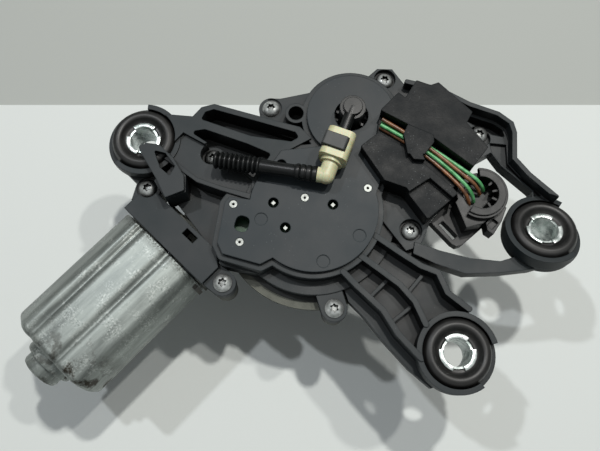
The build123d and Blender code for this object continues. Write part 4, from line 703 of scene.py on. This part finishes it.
def screwSurface(at, length, turn):
    # the recess's outline is mean + wave cos(lobes t), and the dome falls as 1 - (r / head) ^ power
    angle = angles(screw["columns"])
    ones = np.ones_like(angle)
    lobe = screw["recessMean"] + screw["recessWave"] * np.cos(screw["lobes"] * angle + turn)
    lip = lobe + screw["recessLip"]
    radii = [0 * ones, lobe - screw["recessTaper"], lobe, lip]
    radii += [lip + (screw["domeEdge"] - lip) * share for share in screw["domeShares"]]
    domed = [screw["flange"] + screw["dome"] * (1 - (row / screw["head"]) ** screw["domePower"]) for row in radii]
    heights = [ones * screw["recessFloor"]] * 2 + [domed[2] - screw["lipDrop"]] + domed[3:]
    below = [(screw["head"], screw["flange"]), (screw["head"], screw["flangeFoot"]),
             (screw["head"] - screw["flangeCorner"], 0.0), (screw["shank"], 0.0),
             (screw["shank"], screw["point"] - length), (screw["shank"] - screw["point"], -length), (0.0, -length)]
    radii += [ones * radius for radius, height in below]
    heights += [ones * height for radius, height in below]
    return turned(basisAt((*at, screw["seat"])), np.array(radii), np.array(heights))


frameSet = [screwSurface(at, screw["frameLength"], screw["frameTurn"] * count)
            for count, at in enumerate(framePlaces)]
moduleSet = [screwSurface(modulePlace, screw["moduleLength"], screw["moduleTurn"])]
dress(build("frameScrewSet", frameSet, screw["sharp"]), "frame_screws")
dress(build("moduleScrewHead", moduleSet, screw["sharp"]), "module_screw")

# Washer hose: a ribbed stub on a smooth pipe with a ringed collar, both measured along the hose

hoseStart = np.array([-12.7, -33.4, 64.2])
hoseEnd = np.array([-63.5, -24.6, 61.6])
hoseBasis = basisAt(hoseStart, hoseEnd - hoseStart)
# mouths and tails are (radius, distance along the hose)
pipe = {"mouth": [(2.1, 4.1), (3.3, 4.1)], "collar": 3.7, "collarStart": 4.6, "collarEnd": 13.5, "step": 0.25,
        "ringStart": 4.0, "ringGap": 2.6, "ringDepth": 0.45, "ringPower": 10,
        "tail": [(3.35, 14.0), (3.05, 14.7), (3.3, 31.0), (3.05, 31.6), (2.1, 31.6)], "columns": 48, "sharp": 50}
ribs = {"mouth": [(2.1, 29.4), (3.15, 29.4)], "start": 30.0, "end": 51.6, "gap": 2.15, "stepsPerRib": 12,
        "outer": 4.15, "inner": 3.15, "fullness": 0.6, "tail": [(2.4, 51.6), (2.1, 51.2)], "columns": 56,
        "sharp": 60}


def hosePipe():
    # the collar's rings are pressed in by depth |cos(pi z / gap)| ^ power
    along = np.arange(pipe["collarStart"], pipe["collarEnd"], pipe["step"])
    ring = np.abs(np.cos(np.pi * (along - pipe["ringStart"]) / pipe["ringGap"])) ** pipe["ringPower"]
    radius = pipe["collar"] - pipe["ringDepth"] * ring
    surface = spun(hoseBasis, pipe["mouth"] + list(zip(radius, along)) + pipe["tail"], pipe["columns"])
    return dress(build("hosePipe", [surface], pipe["sharp"]), "hose_tail")


def hoseRibs():
    # full ribs as a rounded wave: inner + (outer - inner) (0.5 - 0.5 cos(2 pi z / gap)) ^ fullness
    along = np.arange(ribs["start"], ribs["end"], ribs["gap"] / ribs["stepsPerRib"])
    wave = 0.5 - 0.5 * np.cos(fullTurn * (along - ribs["start"]) / ribs["gap"])
    radius = ribs["inner"] + (ribs["outer"] - ribs["inner"]) * wave ** ribs["fullness"]
    surface = spun(hoseBasis, ribs["mouth"] + list(zip(radius, along)) + ribs["tail"], ribs["columns"])
    return dress(build("hoseRibs", [surface], ribs["sharp"]), "washer_hose")


hosePipe()
hoseRibs()

# Wires: smooth lines through the points of the wires' own routes

wireLook = {"radius": 0.86, "order": 3, "stepsPerPoint": 14, "roundness": 5}
wireRoutes = {
    "green_wire_upper": [(13.6, -5.1, 60.95), (32.6, -16.2, 60.95), (49.3, -29.2, 61.7), (58.0, -35.6, 60.6),
                         (59.9, -37.4, 55.3)],
    "brown_wire_upper": [(13.6, -5.1, 62.9), (32.2, -17.0, 62.9), (48.2, -31.3, 62.3), (56.0, -37.4, 60.9),
                         (58.0, -39.2, 55.3)],
    "green_wire_lower": [(12.8, -7.9, 62.9), (30.9, -18.7, 62.9), (46.6, -32.8, 62.3), (53.6, -40.8, 60.9),
                         (55.0, -42.8, 55.3)],
    "brown_wire_lower": [(12.6, -8.3, 60.95), (30.4, -19.4, 60.95), (45.0, -34.3, 61.7), (51.4, -42.0, 60.6),
                         (52.8, -44.2, 55.3)],
}


def wire(nodeName, route):
    curve = bpy.data.curves.new(nodeName + "_line", "CURVE")
    curve.dimensions = "3D"
    spline = curve.splines.new("NURBS")
    spline.points.add(len(route) - 1)
    for point, spot in zip(spline.points, route):
        point.co = (*(np.array(spot) * mm), 1.0)
    spline.order_u = wireLook["order"]
    spline.use_endpoint_u = True
    spline.resolution_u = wireLook["stepsPerPoint"]
    curve.bevel_depth = wireLook["radius"] * mm
    curve.bevel_resolution = wireLook["roundness"]
    curve.use_fill_caps = True
    return dress(placed(nodeName + "_line", curve), nodeName)


for nodeName, route in wireRoutes.items():
    wire(nodeName, route)
print("screws, hose and wires ready")

# Wiper spindle: threaded end, fluted cone, journal with its ring groove, and the bore for the water

spindle = {"radius": 5.0, "coneSmall": 4.3, "coneLow": -14.0, "journalLow": -6.0, "coneSteps": 12, "flutes": 36,
           "fluteDepth": 0.1, "columns": 144, "sharp": 32}
thread = {"face": [(1.2, -23.6), (1.5, -24.0), (3.2, -24.0)], "low": -24.0, "first": -23.5, "high": -14.8,
          "crest": 3.95, "depth": 0.6, "pitch": 1.25, "stepsPerTurn": 9, "leadIn": 1.2, "leastDepth": 0.3,
          "runOut": 1.0}
# (radius, height) from the journal's ring groove up to the chamfered end and back down the bore
journal = [(spindle["radius"], 4.98), (4.2, 4.98), (4.2, 5.98), (spindle["radius"], 5.98),
           (spindle["radius"], 49.4), (4.4, 50.0), (2.45, 50.0), (2.45, 41.0), (1.2, 41.0)]


def spindleShaft():
    angle = angles(spindle["columns"])
    ones = np.ones_like(angle)
    radii = [ones * radius for radius, height in thread["face"]]
    heights = [ones * height for radius, height in thread["face"]]
    # the thread's flank draws the radius in by depth |2 frac(z / pitch - t / 2 pi) - 1|
    levels = np.arange(thread["first"], thread["high"], thread["pitch"] / thread["stepsPerTurn"])[:, None]
    winding = np.abs(2 * ((levels / thread["pitch"] - angle / fullTurn) % 1) - 1)
    fade = np.clip((levels - thread["low"]) / thread["leadIn"], thread["leastDepth"], 1)
    fade = fade * np.clip((thread["high"] - levels) / thread["runOut"], 0, 1)
    radii += list(thread["crest"] - thread["depth"] * winding * fade)
    heights += list(levels * ones)
    # the cone's flutes draw it in by depth (0.5 + 0.5 cos(flutes t)), but not at its ends
    for share in np.linspace(0, 1, spindle["coneSteps"]):
        radius = spindle["coneSmall"] + (spindle["radius"] - spindle["coneSmall"]) * share
        depth = spindle["fluteDepth"] if 0 < share < 1 else 0.0
        radii.append(radius - depth * (0.5 + 0.5 * np.cos(spindle["flutes"] * angle)))
        heights.append(ones * (spindle["coneLow"] + (spindle["journalLow"] - spindle["coneLow"]) * share))
    radii += [ones * radius for radius, height in journal]
    heights += [ones * height for radius, height in journal]
    surface = turned(basisAt((0, 0, 0)), np.array(radii), np.array(heights), True)
    return dress(build("spindleShaft", [surface], spindle["sharp"]), "wiper_spindle")


spindleShaft()
print("spindle ready")
